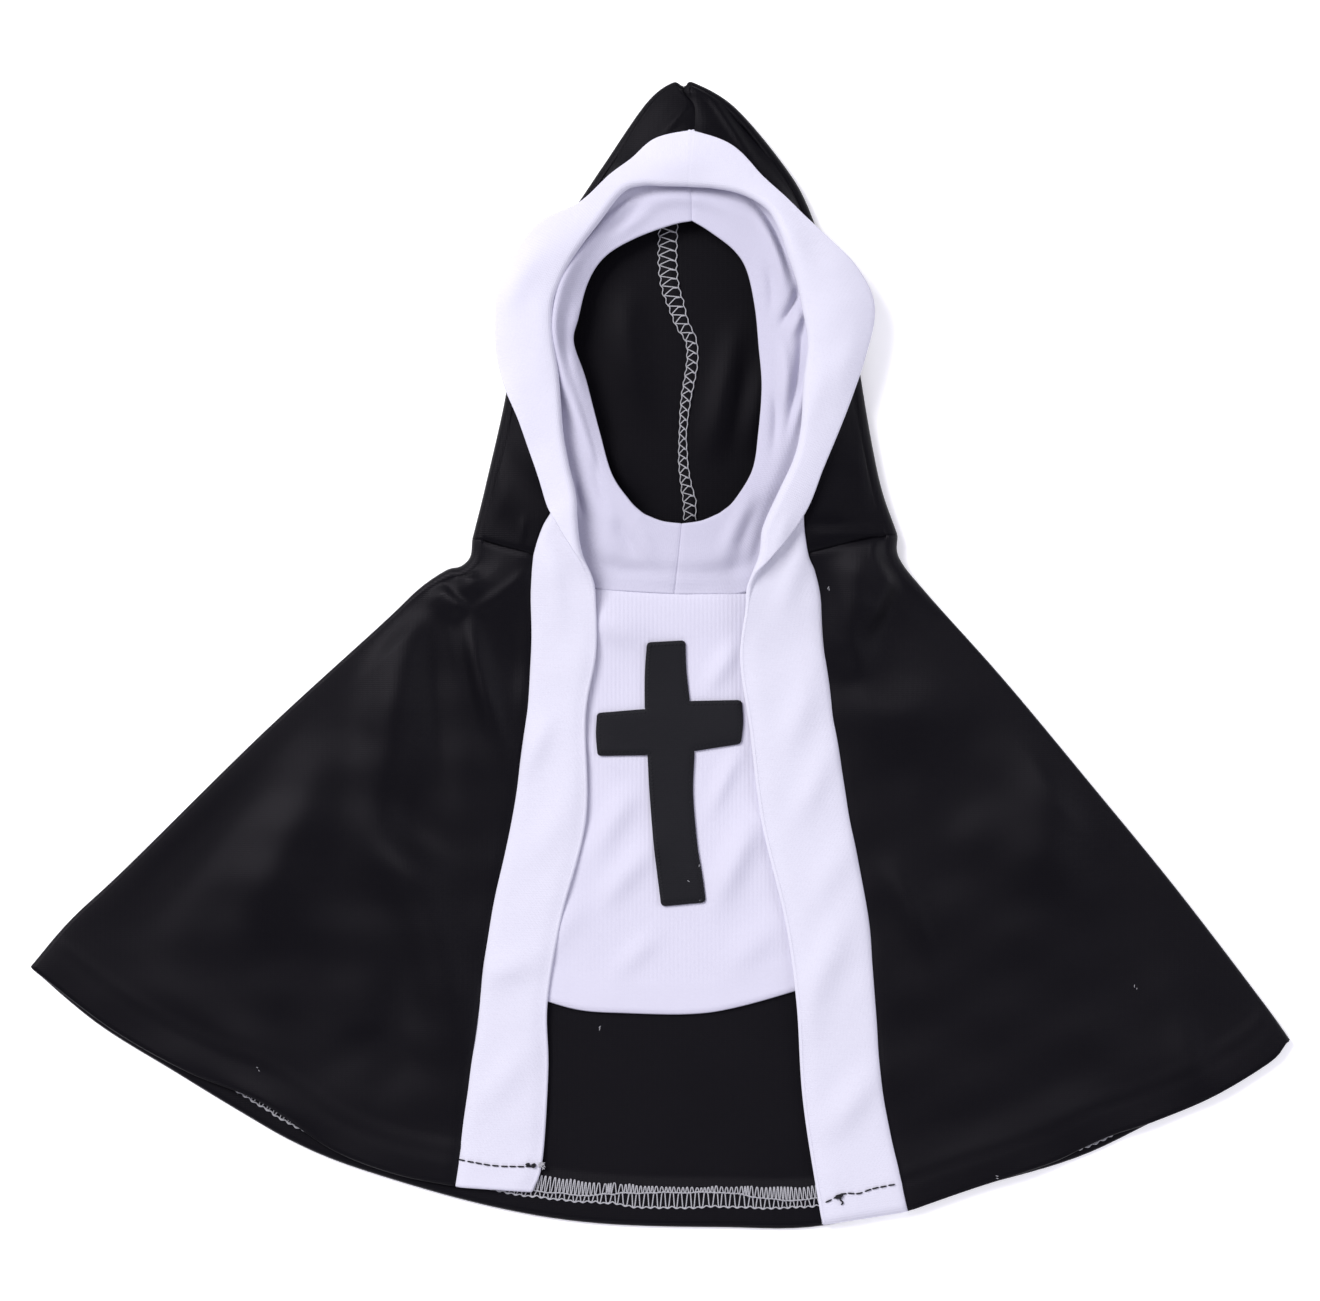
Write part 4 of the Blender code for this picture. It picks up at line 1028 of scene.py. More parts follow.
def band(name, table, material):
    """One side of the white band, from the crown to the hem, and its top side."""
    sections = np.array([band_section(row) for row in smooth_rows(table, BAND_ROWS_PER_SECTION)])
    points = sections[..., :3]
    normals = sections[..., 3:6]
    across = sections[..., 6]
    plan = points[..., :2]
    down = distances(points[:, 0])[:, None]
    relief = crease_height(plan, BAND_CREASES) + swell(plan, BAND_SWELL, BAND_SEED)
    relief -= dent(across, SEAM_TUCK) + dent(down, CROWN_DIP)
    below_neck = ease((EDGE_DROP_START - points[:, :1, 1]) / EDGE_DROP_FADE)
    relief -= below_neck * dent(across[:, -1:] - across, EDGE_DROP)
    points[..., 2] += relief
    half = BAND_CLOTH / 2 * normals
    cloth = np.dstack([across, np.broadcast_to(down, across.shape)])
    piece = shell(name, points + half, points - half, cloth, material)
    return piece, points + half * np.sign(normals[..., 2:])


def seam_line(table, first, last, gap):
    """Plan points of the black cloth's edge along the band's seam."""
    rows = smooth_rows(table[first:last + 1], SEAM_POINTS)
    heading = np.radians(rows[:, 2])
    return rows[:, :2] - gap * np.column_stack([np.cos(heading), np.sin(heading)])


# Hood

def side_arc(edge, outward, radius, to_front):
    """Points round a side fold, between the back and the front."""
    angles = np.linspace(-pi / 2, pi / 2, ARC_STEPS + 1) * (1 if to_front else -1)
    radius = radius[:, None]
    centre = edge - (radius + BLACK_WALL / 2) * outward
    plan = centre[:, None] + (radius * np.cos(angles))[..., None] * outward[:, None]
    return np.dstack([plan, BACK_HEIGHT + radius * (1 + np.sin(angles))])


def hood_front_line(side, shift, shares):
    """Plan points down the front of a half: the top seam, then the band's seam."""
    top_seam = smooth_rows(HOOD_TOP_SEAM, SEAM_POINTS) + shift
    band_seam = seam_line(side.band, 0, side.neck_section, HOOD_EDGE_GAP)[CROWN_POINTS:]
    line = spaced(np.vstack([top_seam, band_seam]), shares)
    line[-1, 1] += GAP / 4
    return line


def hood_front_heights(line, start_height):
    """Heights down the front: from the peak to the crown, then the band's seam."""
    peak_up = HOOD_TOP_SEAM[0][1]
    crown_up = HOOD_TOP_SEAM[-1][1]
    share = np.clip((peak_up - line[:, 1]) / (peak_up - crown_up), 0, 1)
    on_top_seam = start_height[0] + (seam_height(crown_up) - start_height[0]) * share
    return np.where(line[:, 1] > crown_up, on_top_seam, seam_height(line[:, 1]))


def hood_half(name, side, material):
    """One half, from the centre back round the side fold to the front edge."""
    shares = steps(HOOD_ROWS) ** ROW_CROWDING
    shift = (-side.turn * SEAM_LAP, 0)
    radius = smooth_between(shares, HOOD_SIDE)
    fold = along(side.hood_side, shares)
    outward = outward_in_plan(fold, side.turn)
    outward[0] = (0, 1)
    outward[-1] = (side.turn, 0)
    arc = side_arc(fold, outward, radius, True)

    centre_back = along(HOOD_BACK_SEAM, shares) + shift
    u = steps(HOOD_BACK_COLUMNS)[:-1, None]
    back = (1 - u) * centre_back[:, None] + u * arc[:, :1, :2]
    back = np.dstack([back, BACK_HEIGHT + crease_height(back, HOOD_INSIDE_CREASES)])

    line = hood_front_line(side, shift, shares)
    start_height = BACK_HEIGHT + 2 * radius
    rise = (hood_front_heights(line, start_height) - start_height)[:, None]
    u = steps(HOOD_FRONT_COLUMNS)[1:]
    plan = (1 - u[:, None]) * arc[:, -1:, :2] + u[:, None] * line[:, None]
    height = start_height[:, None] + rise * u + HOOD_BULGE * np.clip(rise, 0, None) * u * (1 - u)
    height += crease_height(plan, HOOD_CREASES)
    height += swell(plan, CAPE_SWELL, HOOD_SEED) * ease(u / HOOD_SWELL_FADE)
    down = distances(fold)
    height -= dent(down[-1] - down, NECK_TUCK)[:, None]

    points = np.concatenate([back, arc, np.dstack([plan, height])], axis=1)
    half = -side.turn * BLACK_CLOTH / 2 * grid_normals(points)
    return shell(name, points + half, points - half, points[..., :2], material)


# Cape

def turned_up(from_hem):
    """Thickness of the turned-up hem at each distance from the edge."""
    return HEM_RISE * (1 - ease((from_hem - HEM_DEPTH) / HEM_STEP_WIDTH + 0.5))


def cape_heights(plan, side_height, share):
    """Heights of a front: the band's seam at one side, the side fold at the other."""
    edge_height = seam_height(plan[:, :1, 1])
    level = edge_height + (side_height[:, None] - edge_height) * ease(share)
    rows = steps(CAPE_ROWS)[:, None]
    side_fade = FOLD_NECK_FADE + (FOLD_FADE - FOLD_NECK_FADE) * ease(FOLD_NECK_ROWS * rows)
    room = (ease(FOLD_FADE * share) * ease(side_fade * (1 - share))
            * ease(FOLD_START_ROWS * rows + FOLD_AT_NECK))
    return level + FOLD_SHARE * room * fold_height(plan)


def cape_front(side, fold_edge, side_height):
    """Points of one front, from the band's seam to its side fold."""
    edge = seam_line(side.band, side.neck_section, len(side.band) - 1, GAP / 2)
    plan = patch(edge, side.cape_side, [edge[0], side.cape_side[0]], [edge[-1], *side.hem],
                 CAPE_ROWS, CAPE_FRONT_COLUMNS)
    share = steps(CAPE_FRONT_COLUMNS)
    inset = (fold_edge[:, :2] - plan[:, -1])[:, None]
    plan = plan + inset * share[:, None] ** 2
    from_fold = size(plan - plan[:, -1:])
    from_hem = size(plan - plan[-1:])
    height = cape_heights(plan, side_height, share)
    height += crease_height(plan, CAPE_CREASES, from_fold)
    height += sum(tuck_height(plan, tuck) for tuck in CAPE_TUCKS) * ease(from_fold / TUCK_ROOM)
    height += ease(from_fold / SWELL_LENGTH) * swell(plan, CAPE_SWELL, side.front_seed)
    height += HEM_SHOWS * (1 - ease((from_hem - HEM_DEPTH) / HEM_SHOWS_WIDTH + 0.5))
    height -= dent(size(plan - plan[:, :1]), SEAM_TUCK) + dent(size(plan - plan[:1]), NECK_TUCK)
    height -= dent(from_hem - HEM_STITCH_UP, HEM_DENT)
    least = BACK_TOP + turned_up(from_hem) + BLACK_CLOTH / 2 + LEAST_LIFT
    lift = LIFT_SOFTNESS * np.logaddexp(0, (least - height) / LIFT_SOFTNESS)
    return np.dstack([plan, height + lift * ease(from_fold / LIFT_ROOM)])


def cape_back(left_edge, right_edge):
    """Points of the back, flat on the floor between the two side folds."""
    neck = [LEFT.cape_side[0], RIGHT.cape_side[0]]
    plan = patch(LEFT.cape_side, RIGHT.cape_side, neck, CAPE_BACK_HEM, CAPE_ROWS, CAPE_BACK_COLUMNS)
    share = steps(CAPE_BACK_COLUMNS)[:, None]
    left_inset = (left_edge[:, :2] - plan[:, 0])[:, None]
    right_inset = (right_edge[:, :2] - plan[:, -1])[:, None]
    plan = plan + left_inset * (1 - share) ** 4 + right_inset * share ** 4
    return np.dstack([plan, np.full(plan.shape[:2], BACK_HEIGHT)])


def cape(material):
    """One cloth: left front, left fold, back, right fold, right front; and its top side."""
    shares = steps(CAPE_ROWS) ** ROW_CROWDING
    neck_share = 1 - ease(shares / NECK_FADE)
    radius = CAPE_SIDE_RADIUS + (CAPE_NECK_RADIUS - CAPE_SIDE_RADIUS) * neck_share
    radius += HEM_RISE / 2 * ease((shares - TIP_START) / TIP_FADE)
    side_height = BACK_HEIGHT + 2 * radius
    arcs = []
    for side in (LEFT, RIGHT):
        fold = along(side.cape_side, shares)
        outward = outward_in_plan(fold, side.turn)
        outward[0] = (side.turn, 0)
        arcs.append(side_arc(fold, outward, radius, side.turn > 0))
    left_arc, right_arc = arcs
    left = cape_front(LEFT, left_arc[:, 0], side_height)
    right = cape_front(RIGHT, right_arc[:, -1], side_height)
    back = cape_back(left_arc[:, -1], right_arc[:, 0])
    points = np.concatenate([left[:, :-1], left_arc, back[:, 1:-1], right_arc, right[:, -2::-1]], axis=1)
    half = -BLACK_CLOTH / 2 * grid_normals(points)
    outer = points + half
    inner = points - half
    start = CAPE_FRONT_COLUMNS + ARC_STEPS
    columns = slice(start, start + CAPE_BACK_COLUMNS + 1)
    from_hem = size(points[:, columns, :2] - points[-1:, columns, :2])
    inner[:, columns, 2] += turned_up(from_hem) * fade_ends(steps(CAPE_BACK_COLUMNS), HEM_WINDOW)
    return shell("cape_cloth", outer, inner, points[..., :2], material), outer


# Face ring, bib and cross

def coif_section(row):
    """Points of one section, from the root under the band to the face."""
    edge = row[:3]
    crest = row[3:6]
    root = np.array([row[6], row[7], seam_height(row[7]) - row[8]])
    under = root + COIF_UNDER_SHARE * (crest - root)
    under[2] = min(root[2], crest[2])
    return [root, (root + under) / 2, under, crest, (crest + edge) / 2, edge]


def coif_half(name, side, material):
    """One half of the ring round the face."""
    rows = smooth_rows(side.coif, COIF_ROWS_PER_SECTION)
    points = np.array([smooth_rows(coif_section(row), COIF_COLUMNS_PER_SPAN) for row in rows])
    plan = points[..., :2]
    down = distances(points[:, points.shape[1] // 2])[:, None]
    points[..., 2] += (crease_height(plan, COIF_CREASES) + swell(plan, COIF_SWELL, COIF_SEED)
                       - dent(np.minimum(down, down[-1] - down), COIF_SEAM_DIP))
    across = np.cumsum(size(np.diff(points, axis=1, prepend=points[:, :1])), axis=1)
    cloth = np.dstack([across, np.broadcast_to(down, across.shape)])
    half = -side.turn * THIN_CLOTH / 2 * grid_normals(points)
    return shell(name, points + half, points - half, cloth, material)


def bib_surface(plan):
    """Height of the middle of the bib's cloth, with its creases."""
    return (smooth_between(plan[..., 1], BIB_HEIGHTS) + crease_height(plan, BIB_CREASES)
            + swell(plan, BIB_SWELL, BIB_SEED))


def bib(material):
    """The ribbed bib with its plain hem."""
    plan = patch(BIB_LEFT, BIB_RIGHT, BIB_TOP, BIB_BOTTOM, BIB_ROWS, BIB_COLUMNS)
    ribbed = ease((size(plan - plan[-1:]) - BIB_HEM) / BIB_HEM_STEP + 0.5)
    rib = RIB_HEIGHT * np.cos(2 * pi * plan[..., 0] / RIB_PITCH)
    half = THIN_CLOTH / 2 + rib * (HEM_RIB_SHARE + (1 - HEM_RIB_SHARE) * ribbed)
    height = bib_surface(plan) - dent(size(plan - plan[:1]), COIF_SEAM_DIP)
    upper = np.dstack([plan, height + half + BIB_HEM_RISE * (1 - ribbed)])
    lower = np.dstack([plan, height - half])
    return shell("bib_cloth", upper, lower, plan, material)


def round_corner(grid, row, column, row_step, column_step):
    """Draws in one corner of a grid of plan points; the steps lead into the grid."""
    inner = grid[row + row_step, column + column_step]
    sides = grid[row, column + column_step] + grid[row + row_step, column] - 2 * inner
    grid[row, column] = inner + sides / np.sqrt(2)


def cross_grid():
    """Plan points of the cross, and which of its cells are cloth."""
    stem_sides = smooth_rows(CROSS_STEM, CROSS_ROWS_PER_SPAN)
    left = stem_sides[:, None, :2]
    right = stem_sides[:, None, 2:]
    u = steps(CROSS_STEM_COLUMNS)[:, None]
    stem = (1 - u) * left + u * right
    first, last = (section * CROSS_ROWS_PER_SPAN for section in CROSS_ARM_SECTIONS)
    u = steps(CROSS_ARM_COLUMNS)[:-1, None]
    arms = []
    for table, side in ((CROSS_LEFT_ARM, left), (CROSS_RIGHT_ARM, right)):
        end = smooth_rows(table, CROSS_ROWS_PER_SPAN)[:, None]
        arm = np.zeros((len(stem), CROSS_ARM_COLUMNS, 2))
        arm[first:last + 1] = (1 - u) * end + u * side[first:last + 1]
        arms.append(arm)
    grid = np.concatenate([arms[0], stem, arms[1][:, ::-1]], axis=1)
    stem_left = CROSS_ARM_COLUMNS
    stem_right = CROSS_ARM_COLUMNS + CROSS_STEM_COLUMNS
    is_cloth = np.zeros((grid.shape[0] - 1, grid.shape[1] - 1), dtype=bool)
    is_cloth[:, stem_left:stem_right] = True
    is_cloth[first:last] = True
    ends = ((0, 1, stem_left, stem_right), (len(stem) - 1, -1, stem_left, stem_right),
            (first, 1, 0, grid.shape[1] - 1), (last, -1, 0, grid.shape[1] - 1))
    for row, row_step, left_column, right_column in ends:
        round_corner(grid, row, left_column, row_step, 1)
        round_corner(grid, row, right_column, row_step, -1)
    return grid, is_cloth


def rim_loop(faces):
    """Points round the rim of a sheet of faces, the way that the faces' own edges run."""
    edges = {edge for face in faces.tolist() for edge in zip(face, face[1:] + face[:1])}
    following = {start: end for start, end in edges if (end, start) not in edges}
    loop = [0]
    while following[loop[-1]] != 0:
        loop.append(following[loop[-1]])
    return np.array(loop)


def cross(material):
    """The cross, sewn flat on the bib; also gives its rim in order."""
    grid, is_cloth = cross_grid()
    numbers = np.arange(grid[..., 0].size).reshape(grid.shape[:2])
    used, faces = np.unique(grid_cells(numbers)[is_cloth], return_inverse=True)
    faces = faces.reshape(-1, 4)
    plan = grid.reshape(-1, 2)[used]
    loop = rim_loop(faces)
    rim = plan[loop]
    from_rim = np.min(size(plan[:, None] - rim), axis=1)
    bottom = bib_surface(plan) + BIB_WALL / 2 + GAP
    puff = CROSS_EDGE_SHARE + (1 - CROSS_EDGE_SHARE) * ease(from_rim / CROSS_EDGE_WIDTH)
    unevenness = swell(plan, CROSS_SWELL, CROSS_SEED) * ease(from_rim / CROSS_SWELL_FADE)
    upper = np.column_stack([plan, bottom + THIN_CLOTH * puff + unevenness])
    lower = np.column_stack([plan, bottom])
    ahead = np.roll(rim, -1, axis=0) - np.roll(rim, 1, axis=0)
    outward = unit(np.column_stack([-ahead[:, 1], ahead[:, 0]]))
    rounded = (upper[loop] + lower[loop]) / 2
    rounded[:, :2] += RIM_ROUNDING * THIN_CLOTH * outward
    piece = closed_cloth("cross_cloth", upper, lower, faces, loop, rounded, plan, material)
    return piece, upper[loop], outward


# Sewing

def uneven(t, reach, draw):
    """A value that strays up to its reach either way from stitch to stitch."""
    knots = np.arange(int(t[-1]) + 1)
    return np.interp(t, knots, draw.uniform(-reach, reach, len(knots)))


def stitch_loop(t, top_and_turn):
    """A row of square loops: 1 along each loop's top, 0 between the loops."""
    top, turn = top_and_turn
    return ease((top - np.abs(t % 1 - 0.5)) / turn)


def hem_overlock(material):
    """Overlocking on the turned-up edge of the back's hem, from tip to tip."""
    draw = np.random.default_rng(11)
    line = along(CAPE_BACK_HEM, np.linspace(0, 1, HEM_POINTS))
    travelled = distances(line)
    rows = np.hstack([line, outward_in_plan(line, 1)])

    def on_back(along_line, from_hem, lift):
        place = rows_at(along_line, travelled, rows)
        plan = place[:, :2] + from_hem[:, None] * place[:, 2:]
        return np.column_stack([plan, BACK_TOP + turned_up(from_hem) + lift * HEM_THREAD])

    count = int((travelled[-1] - 2 * HEM_MARGIN) / HEM_PITCH)
    t = np.arange(count * LOOP_STEPS + 1) / LOOP_STEPS
    stray = [uneven(t, 1, draw) for _ in HEM_STRAY]
    start = HEM_MARGIN + HEM_PITCH * t
    table = np.array(HEM_STITCHES)
    levels = rows_at(rows_at(start, travelled, line)[:, 0], table[:, 0], table[:, 1:]).T
    low, middle, high = (level + reach * away for level, reach, away in zip(levels, HEM_STRAY, stray))
    down = middle - (middle - low) * stitch_loop(t, LOWER_LOOP)
    legs = stitch_loop(HEM_UPPER_LEGS * t + LEG_SWAY * stray[0], UPPER_LOOP)
    loop_lift, foot_lift, seam_lift = HEM_LIFTS
    along_wave, across_wave = MIDDLE_WAVE
    lower = on_back(start + LOWER_SWAY * stray[2], down, loop_lift)
    upper = on_back(start + UPPER_SWAY * stray[1], middle + (high - middle) * legs, loop_lift)
    foot = on_back(start, low + FOOT_WAVE * np.cos(2 * pi * t), foot_lift)
    seam = on_back(start + along_wave * np.sin(4 * pi * t),
                   middle + across_wave * np.cos(4 * pi * t), seam_lift)
    return thread("hem_overlock", [lower, upper, foot[::2], seam[::2]], HEM_THREAD, material)


def on_allowance(plan, across, lift):
    """Points on the seam allowance inside the hood; across is -1 to 1."""
    base = BACK_TOP + crease_height(plan, HOOD_INSIDE_CREASES)
    rise = ALLOWANCE_RISE * (1 - np.clip(across, -1, 1) ** 4)
    return np.dstack([plan, base + rise + lift])


def hood_sewing(black_cloth, white_thread):
    """The trimmed seam allowance inside the hood and its overlocking."""
    rows = smooth_rows(HOOD_SEAM, SEAM_POINTS)
    line = rows[:, :2]
    half_ways = rows[:, 2:] / 2 * outward_in_plan(line, 1)
    u = 2 * steps(ALLOWANCE_COLUMNS) - 1
    plan = line[:, None] + u[:, None] * half_ways[:, None]
    upper = on_allowance(plan, u, 0)
    base = BACK_TOP + crease_height(plan, HOOD_INSIDE_CREASES)
    lower = np.dstack([plan, base - ALLOWANCE_DEPTH])
    allowance = shell("hood_seam_allowance", upper, lower, plan, black_cloth)

    draw = np.random.default_rng(5)
    travelled = distances(line)
    count = int(travelled[-1] / HOOD_PITCH)
    t = np.arange(count * LOOP_STEPS + 1) / LOOP_STEPS
    jitter = uneven(t, HOOD_SWAY, draw)
    forward = np.interp(t % 1, LEG_TIMES, LEG_FORWARD)
    legs_across = np.interp(t % 1, LEG_TIMES, LEG_ACROSS)
    start = HOOD_PITCH * t
    legs_start = HOOD_PITCH * (np.floor(t) + forward) + HOOD_LEG_SWAY * jitter
    left_wave, right_wave = HOOD_EDGE_WAVES
    left_across = -HOOD_EDGE + left_wave * np.sin(2 * pi * t) + HOOD_EDGE_SWAY * jitter
    right_across = HOOD_EDGE + right_wave * np.cos(2 * pi * t) + HOOD_EDGE_SWAY * jitter
    paths = []
    for at, across, lift in zip((legs_start, start, start), (legs_across, left_across, right_across),
                                HOOD_LIFTS):
        place = rows_at(at, travelled, np.hstack([line, half_ways]))
        plan = place[:, :2] + across[:, None] * place[:, 2:]
        paths.append(on_allowance(plan[None], across, lift)[0])
    paths = [paths[0], paths[1][::2], paths[2][::2]]
    return allowance, thread("hood_overlock", paths, FINE_THREAD, white_thread)


def with_height(plan, surface, lift):
    """Points that lie over the surface's nearest points."""
    flat = surface.reshape(-1, 3)
    nearest = np.argmin(size(plan[:, None] - flat[:, :2]), axis=1)
    return np.column_stack([plan, flat[nearest, 2] + lift])


def stitch_run(line, surface, draw):
    """Single stitches along a line in plan, each dipping into the cloth at its ends."""
    curve = smooth_rows(line, BLACK_STITCH_POINTS)
    length = distances(curve)[-1]
    t = steps(BLACK_STITCH_STEPS)
    bow = BLACK_STITCH_LIFT + BLACK_STITCH_BOW * np.sin(pi * t)
    paths = []
    start = 0.0
    while start + BLACK_STITCH < length:
        plan = spaced(curve, (start + BLACK_STITCH * t) / length)
        stray = draw.uniform(-BLACK_STITCH_STRAY, BLACK_STITCH_STRAY, 2)
        paths.append(with_height(plan + stray, surface, bow))
        start += BLACK_STITCH + BLACK_STITCH_GAP * draw.uniform(*BLACK_STITCH_GAPS)
    return paths


def tangle(centre, radius, count, surface, draw):
    """Loose loops of thread round a point in plan."""
    paths = []
    base = with_height(np.array([centre]), surface, 0)[0, 2]
    t = steps(TANGLE_STEPS)
    for _ in range(count):
        turns = draw.uniform(*TANGLE_TURNS)
        phase = draw.uniform(0, 2 * pi)
        width = radius * draw.uniform(*TANGLE_WIDTHS)
        middle = np.array(centre) + draw.uniform(-TANGLE_STRAY, TANGLE_STRAY, 2) * radius
        angle = 2 * pi * turns * t
        x = middle[0] + width * np.cos(angle + phase)
        depth = width * draw.uniform(*TANGLE_DEPTHS)
        y = middle[1] + depth * np.sin(angle + phase * TANGLE_PHASE)
        z = base + TANGLE_LIFT + TANGLE_RISE * draw.uniform(*TANGLE_RISES) * np.sin(pi * t)
        paths.append(np.column_stack([x, y, z]))
    return paths


def loose_threads(centre, count, length, surface, draw):
    """Short frayed ends that lie about a point in plan."""
    paths = []
    for _ in range(count):
        heading = draw.uniform(0, 2 * pi)
        bend = draw.uniform(-LOOSE_BEND, LOOSE_BEND)
        step = length * draw.uniform(*LOOSE_LENGTHS) / LOOSE_STEPS
        start = np.array(centre) + draw.uniform(-LOOSE_STRAY, LOOSE_STRAY, 2)
        angle = heading + bend * steps(LOOSE_STEPS)[1:]
        ways = np.column_stack([np.cos(angle), np.sin(angle)])
        plan = start + step * np.vstack([[0, 0], np.cumsum(ways, axis=0)])
        paths.append(with_height(plan, surface, LOOSE_LIFT))
    return paths


def cross_edge_stitches(rim, outward, material):
    """Fine zigzag stitches over the edge of the cross."""
    closed = np.hstack([rim, outward])
    closed = np.vstack([closed, closed[:1]])
    travelled = distances(closed[:, :3])
    count = int(travelled[-1] / ZIGZAG_PITCH)
    t = np.arange(count * 4 + 1) / 4
    swing = np.abs(t % 1 * 2 - 1) * 2 - 1
    place = rows_at(ZIGZAG_PITCH * t, travelled, closed)
    plan = place[:, :2] + (ZIGZAG_HALF * swing - ZIGZAG_INSET)[:, None] * place[:, 3:]
    inside = ease((ZIGZAG_HALFWAY - swing) / (1 + ZIGZAG_HALFWAY))
    height = place[:, 2] + ZIGZAG_LIFT + ZIGZAG_RISE * inside - ZIGZAG_DIP * (1 - inside)
    path = np.column_stack([plan, height])
    return thread("cross_edge_stitches", [path], FINE_THREAD, material, pinched=False)


# Materials

def add(tree, kind, inputs=(), **settings):
    """A new shader node with the given settings; inputs are numbers or sockets."""
    node = tree.nodes.new(kind)
    for name, value in settings.items():
        setattr(node, name, value)
    for name, value in dict(inputs).items():
        if isinstance(value, bpy.types.NodeSocket):
            tree.links.new(value, node.inputs[name])
        else:
            node.inputs[name].default_value = value
    return node


def math(tree, operation, *values):
    """The result of a math node."""
    return add(tree, "ShaderNodeMath", enumerate(values), operation=operation).outputs[0]


def noise(tree, scale, detail, roughness):
    """A noise value from 0 to 1, fixed to the garment."""
    place = add(tree, "ShaderNodeTexCoord").outputs["Object"]
    inputs = {"Vector": place, "Scale": scale, "Detail": detail, "Roughness": roughness}
    return add(tree, "ShaderNodeTexNoise", inputs).outputs["Fac"]


def place_in_knit(tree):
    """How far across and along its cloth or thread a point lies."""
    place = add(tree, "ShaderNodeUVMap", uv_map="knit").outputs["UV"]
    return add(tree, "ShaderNodeSeparateXYZ", {0: place}).outputs


def stitch_height(tree, wale, course):
    """Height of knitted stitches: columns of small slanted legs."""
    x, y, _ = place_in_knit(tree)
    across = math(tree, "FRACT", math(tree, "DIVIDE", x, wale))
    slant = math(tree, "ABSOLUTE", math(tree, "SUBTRACT", across, 0.5))
    leg = math(tree, "SINE", math(tree, "MULTIPLY", slant, 2 * pi))
    row = math(tree, "ADD", math(tree, "DIVIDE", y, course), slant)
    wave = math(tree, "SINE", math(tree, "MULTIPLY", row, 2 * pi))
    return math(tree, "MULTIPLY", leg, math(tree, "MULTIPLY_ADD", wave, LEG_WAVE, 1 - LEG_WAVE))


def new_material(name):
    """A new material, its node tree and its shader."""
    material = bpy.data.materials.new(name)
    material.use_nodes = True
    return material, material.node_tree, material.node_tree.nodes["Principled BSDF"]


def dress(tree, shader, share, colours, height, bump, values):
    """Gives a shader a mix of two colours, a fine relief and plain values."""
    shade, colour = colours
    strength, distance = bump
    mix = add(tree, "ShaderNodeMix", data_type="RGBA",
              inputs={"Factor": share, "A": (*shade, 1), "B": (*colour, 1)})
    relief = add(tree, "ShaderNodeBump",
                 {"Strength": strength, "Distance": distance, "Height": height})
    tree.links.new(mix.outputs["Result"], shader.inputs["Base Color"])
    tree.links.new(relief.outputs["Normal"], shader.inputs["Normal"])
    for name, value in values.items():
        shader.inputs[name].default_value = value


# A knit: its base colour and the darker shade colour that random patches and the painted
# shade between its stitches mix in, roughness, gloss, sheen, the pitch of its stitches,
# how deep they are and how high its fuzz stands
Knit = namedtuple("Knit", "name colour shade roughness gloss sheen wale course depth fuzz")

BLACK_KNIT = Knit("black_knit", (0.0013, 0.0012, 0.0021), (0.0007, 0.0006, 0.0013),
                  0.47, 0.132, 0.0, 0.75, 0.62, 0.08, 0.04)
WHITE_KNIT = Knit("white_knit", (0.660, 0.655, 0.735), (0.622, 0.618, 0.706),
                  0.85, 0.20, 0.05, 0.80, 0.70, 0.10, 0.05)
KNITS = [
    BLACK_KNIT,
    # A duller copy of the black knit for the hood halves: its lower gloss is painted shade that darkens
    # the hood's inside, as under the band's brim
    BLACK_KNIT._replace(name="black_hood_painted_shade", gloss=0.098),
    WHITE_KNIT,
    # A darker copy of the white knit for the face ring: painted shade of the hollow round the face, under
    # the band's roll
    WHITE_KNIT._replace(name="white_single_painted_shade", colour=(0.552, 0.543, 0.645),
                        shade=(0.512, 0.502, 0.607)),
    Knit("white_rib", (0.622, 0.612, 0.706), (0.582, 0.573, 0.675),
         0.88, 0.20, 0.05, RIB_PITCH / 2, 0.80, 0.06, 0.05),
    Knit("cross_cloth", (0.0104, 0.0106, 0.0123), (0.0071, 0.0073, 0.0087),
         0.60, 0.12, 0.03, 0.60, 0.60, 0.08, 0.08),
]

# Sewing threads: colour, the darker shade colour that the painted shade in the twist's grooves and random
# patches mix in, and roughness
THREADS = {
    "overlock_thread": ((0.50, 0.50, 0.52), (0.30, 0.30, 0.32), 0.7),
    "black_thread": ((0.020, 0.020, 0.024), (0.008, 0.008, 0.010), 0.6),
}


def knit_material(knit):
    """Cloth with stitches, fuzz, a slightly uneven colour and painted shade between the stitches."""
    material, tree, shader = new_material(knit.name)
    patches = noise(tree, *PATCHES)
    specks = noise(tree, *SPECKS)
    stitches = stitch_height(tree, knit.wale, knit.course)
    speck_tint = math(tree, "MULTIPLY", specks, SPECK_TINT)
    mixed = math(tree, "MULTIPLY_ADD", patches, PATCH_TINT, speck_tint)
    share = math(tree, "MULTIPLY", math(tree, "SUBTRACT", mixed, TINT_START), TINT_SHARE)
    # Painted shade: the stitches' low parts take more of the darker shade colour, their raised legs more
    # of the base colour
    share = math(tree, "MULTIPLY_ADD", stitches, STITCH_PAINTED_SHADE, share)
    fuzz = math(tree, "MULTIPLY", specks, knit.fuzz)
    height = math(tree, "MULTIPLY_ADD", stitches, knit.depth, fuzz)
    dress(tree, shader, share, (knit.shade, knit.colour), height, KNIT_BUMP,
          {"Sheen Weight": knit.sheen, "Sheen Roughness": SHEEN_ROUGHNESS,
           "Specular IOR Level": knit.gloss, "Specular Tint": KNIT_TINT})
    least = knit.roughness - ROUGHNESS_SPREAD / 2
    rough = math(tree, "MULTIPLY_ADD", patches, ROUGHNESS_SPREAD, least)
    tree.links.new(rough, shader.inputs["Roughness"])
    return material


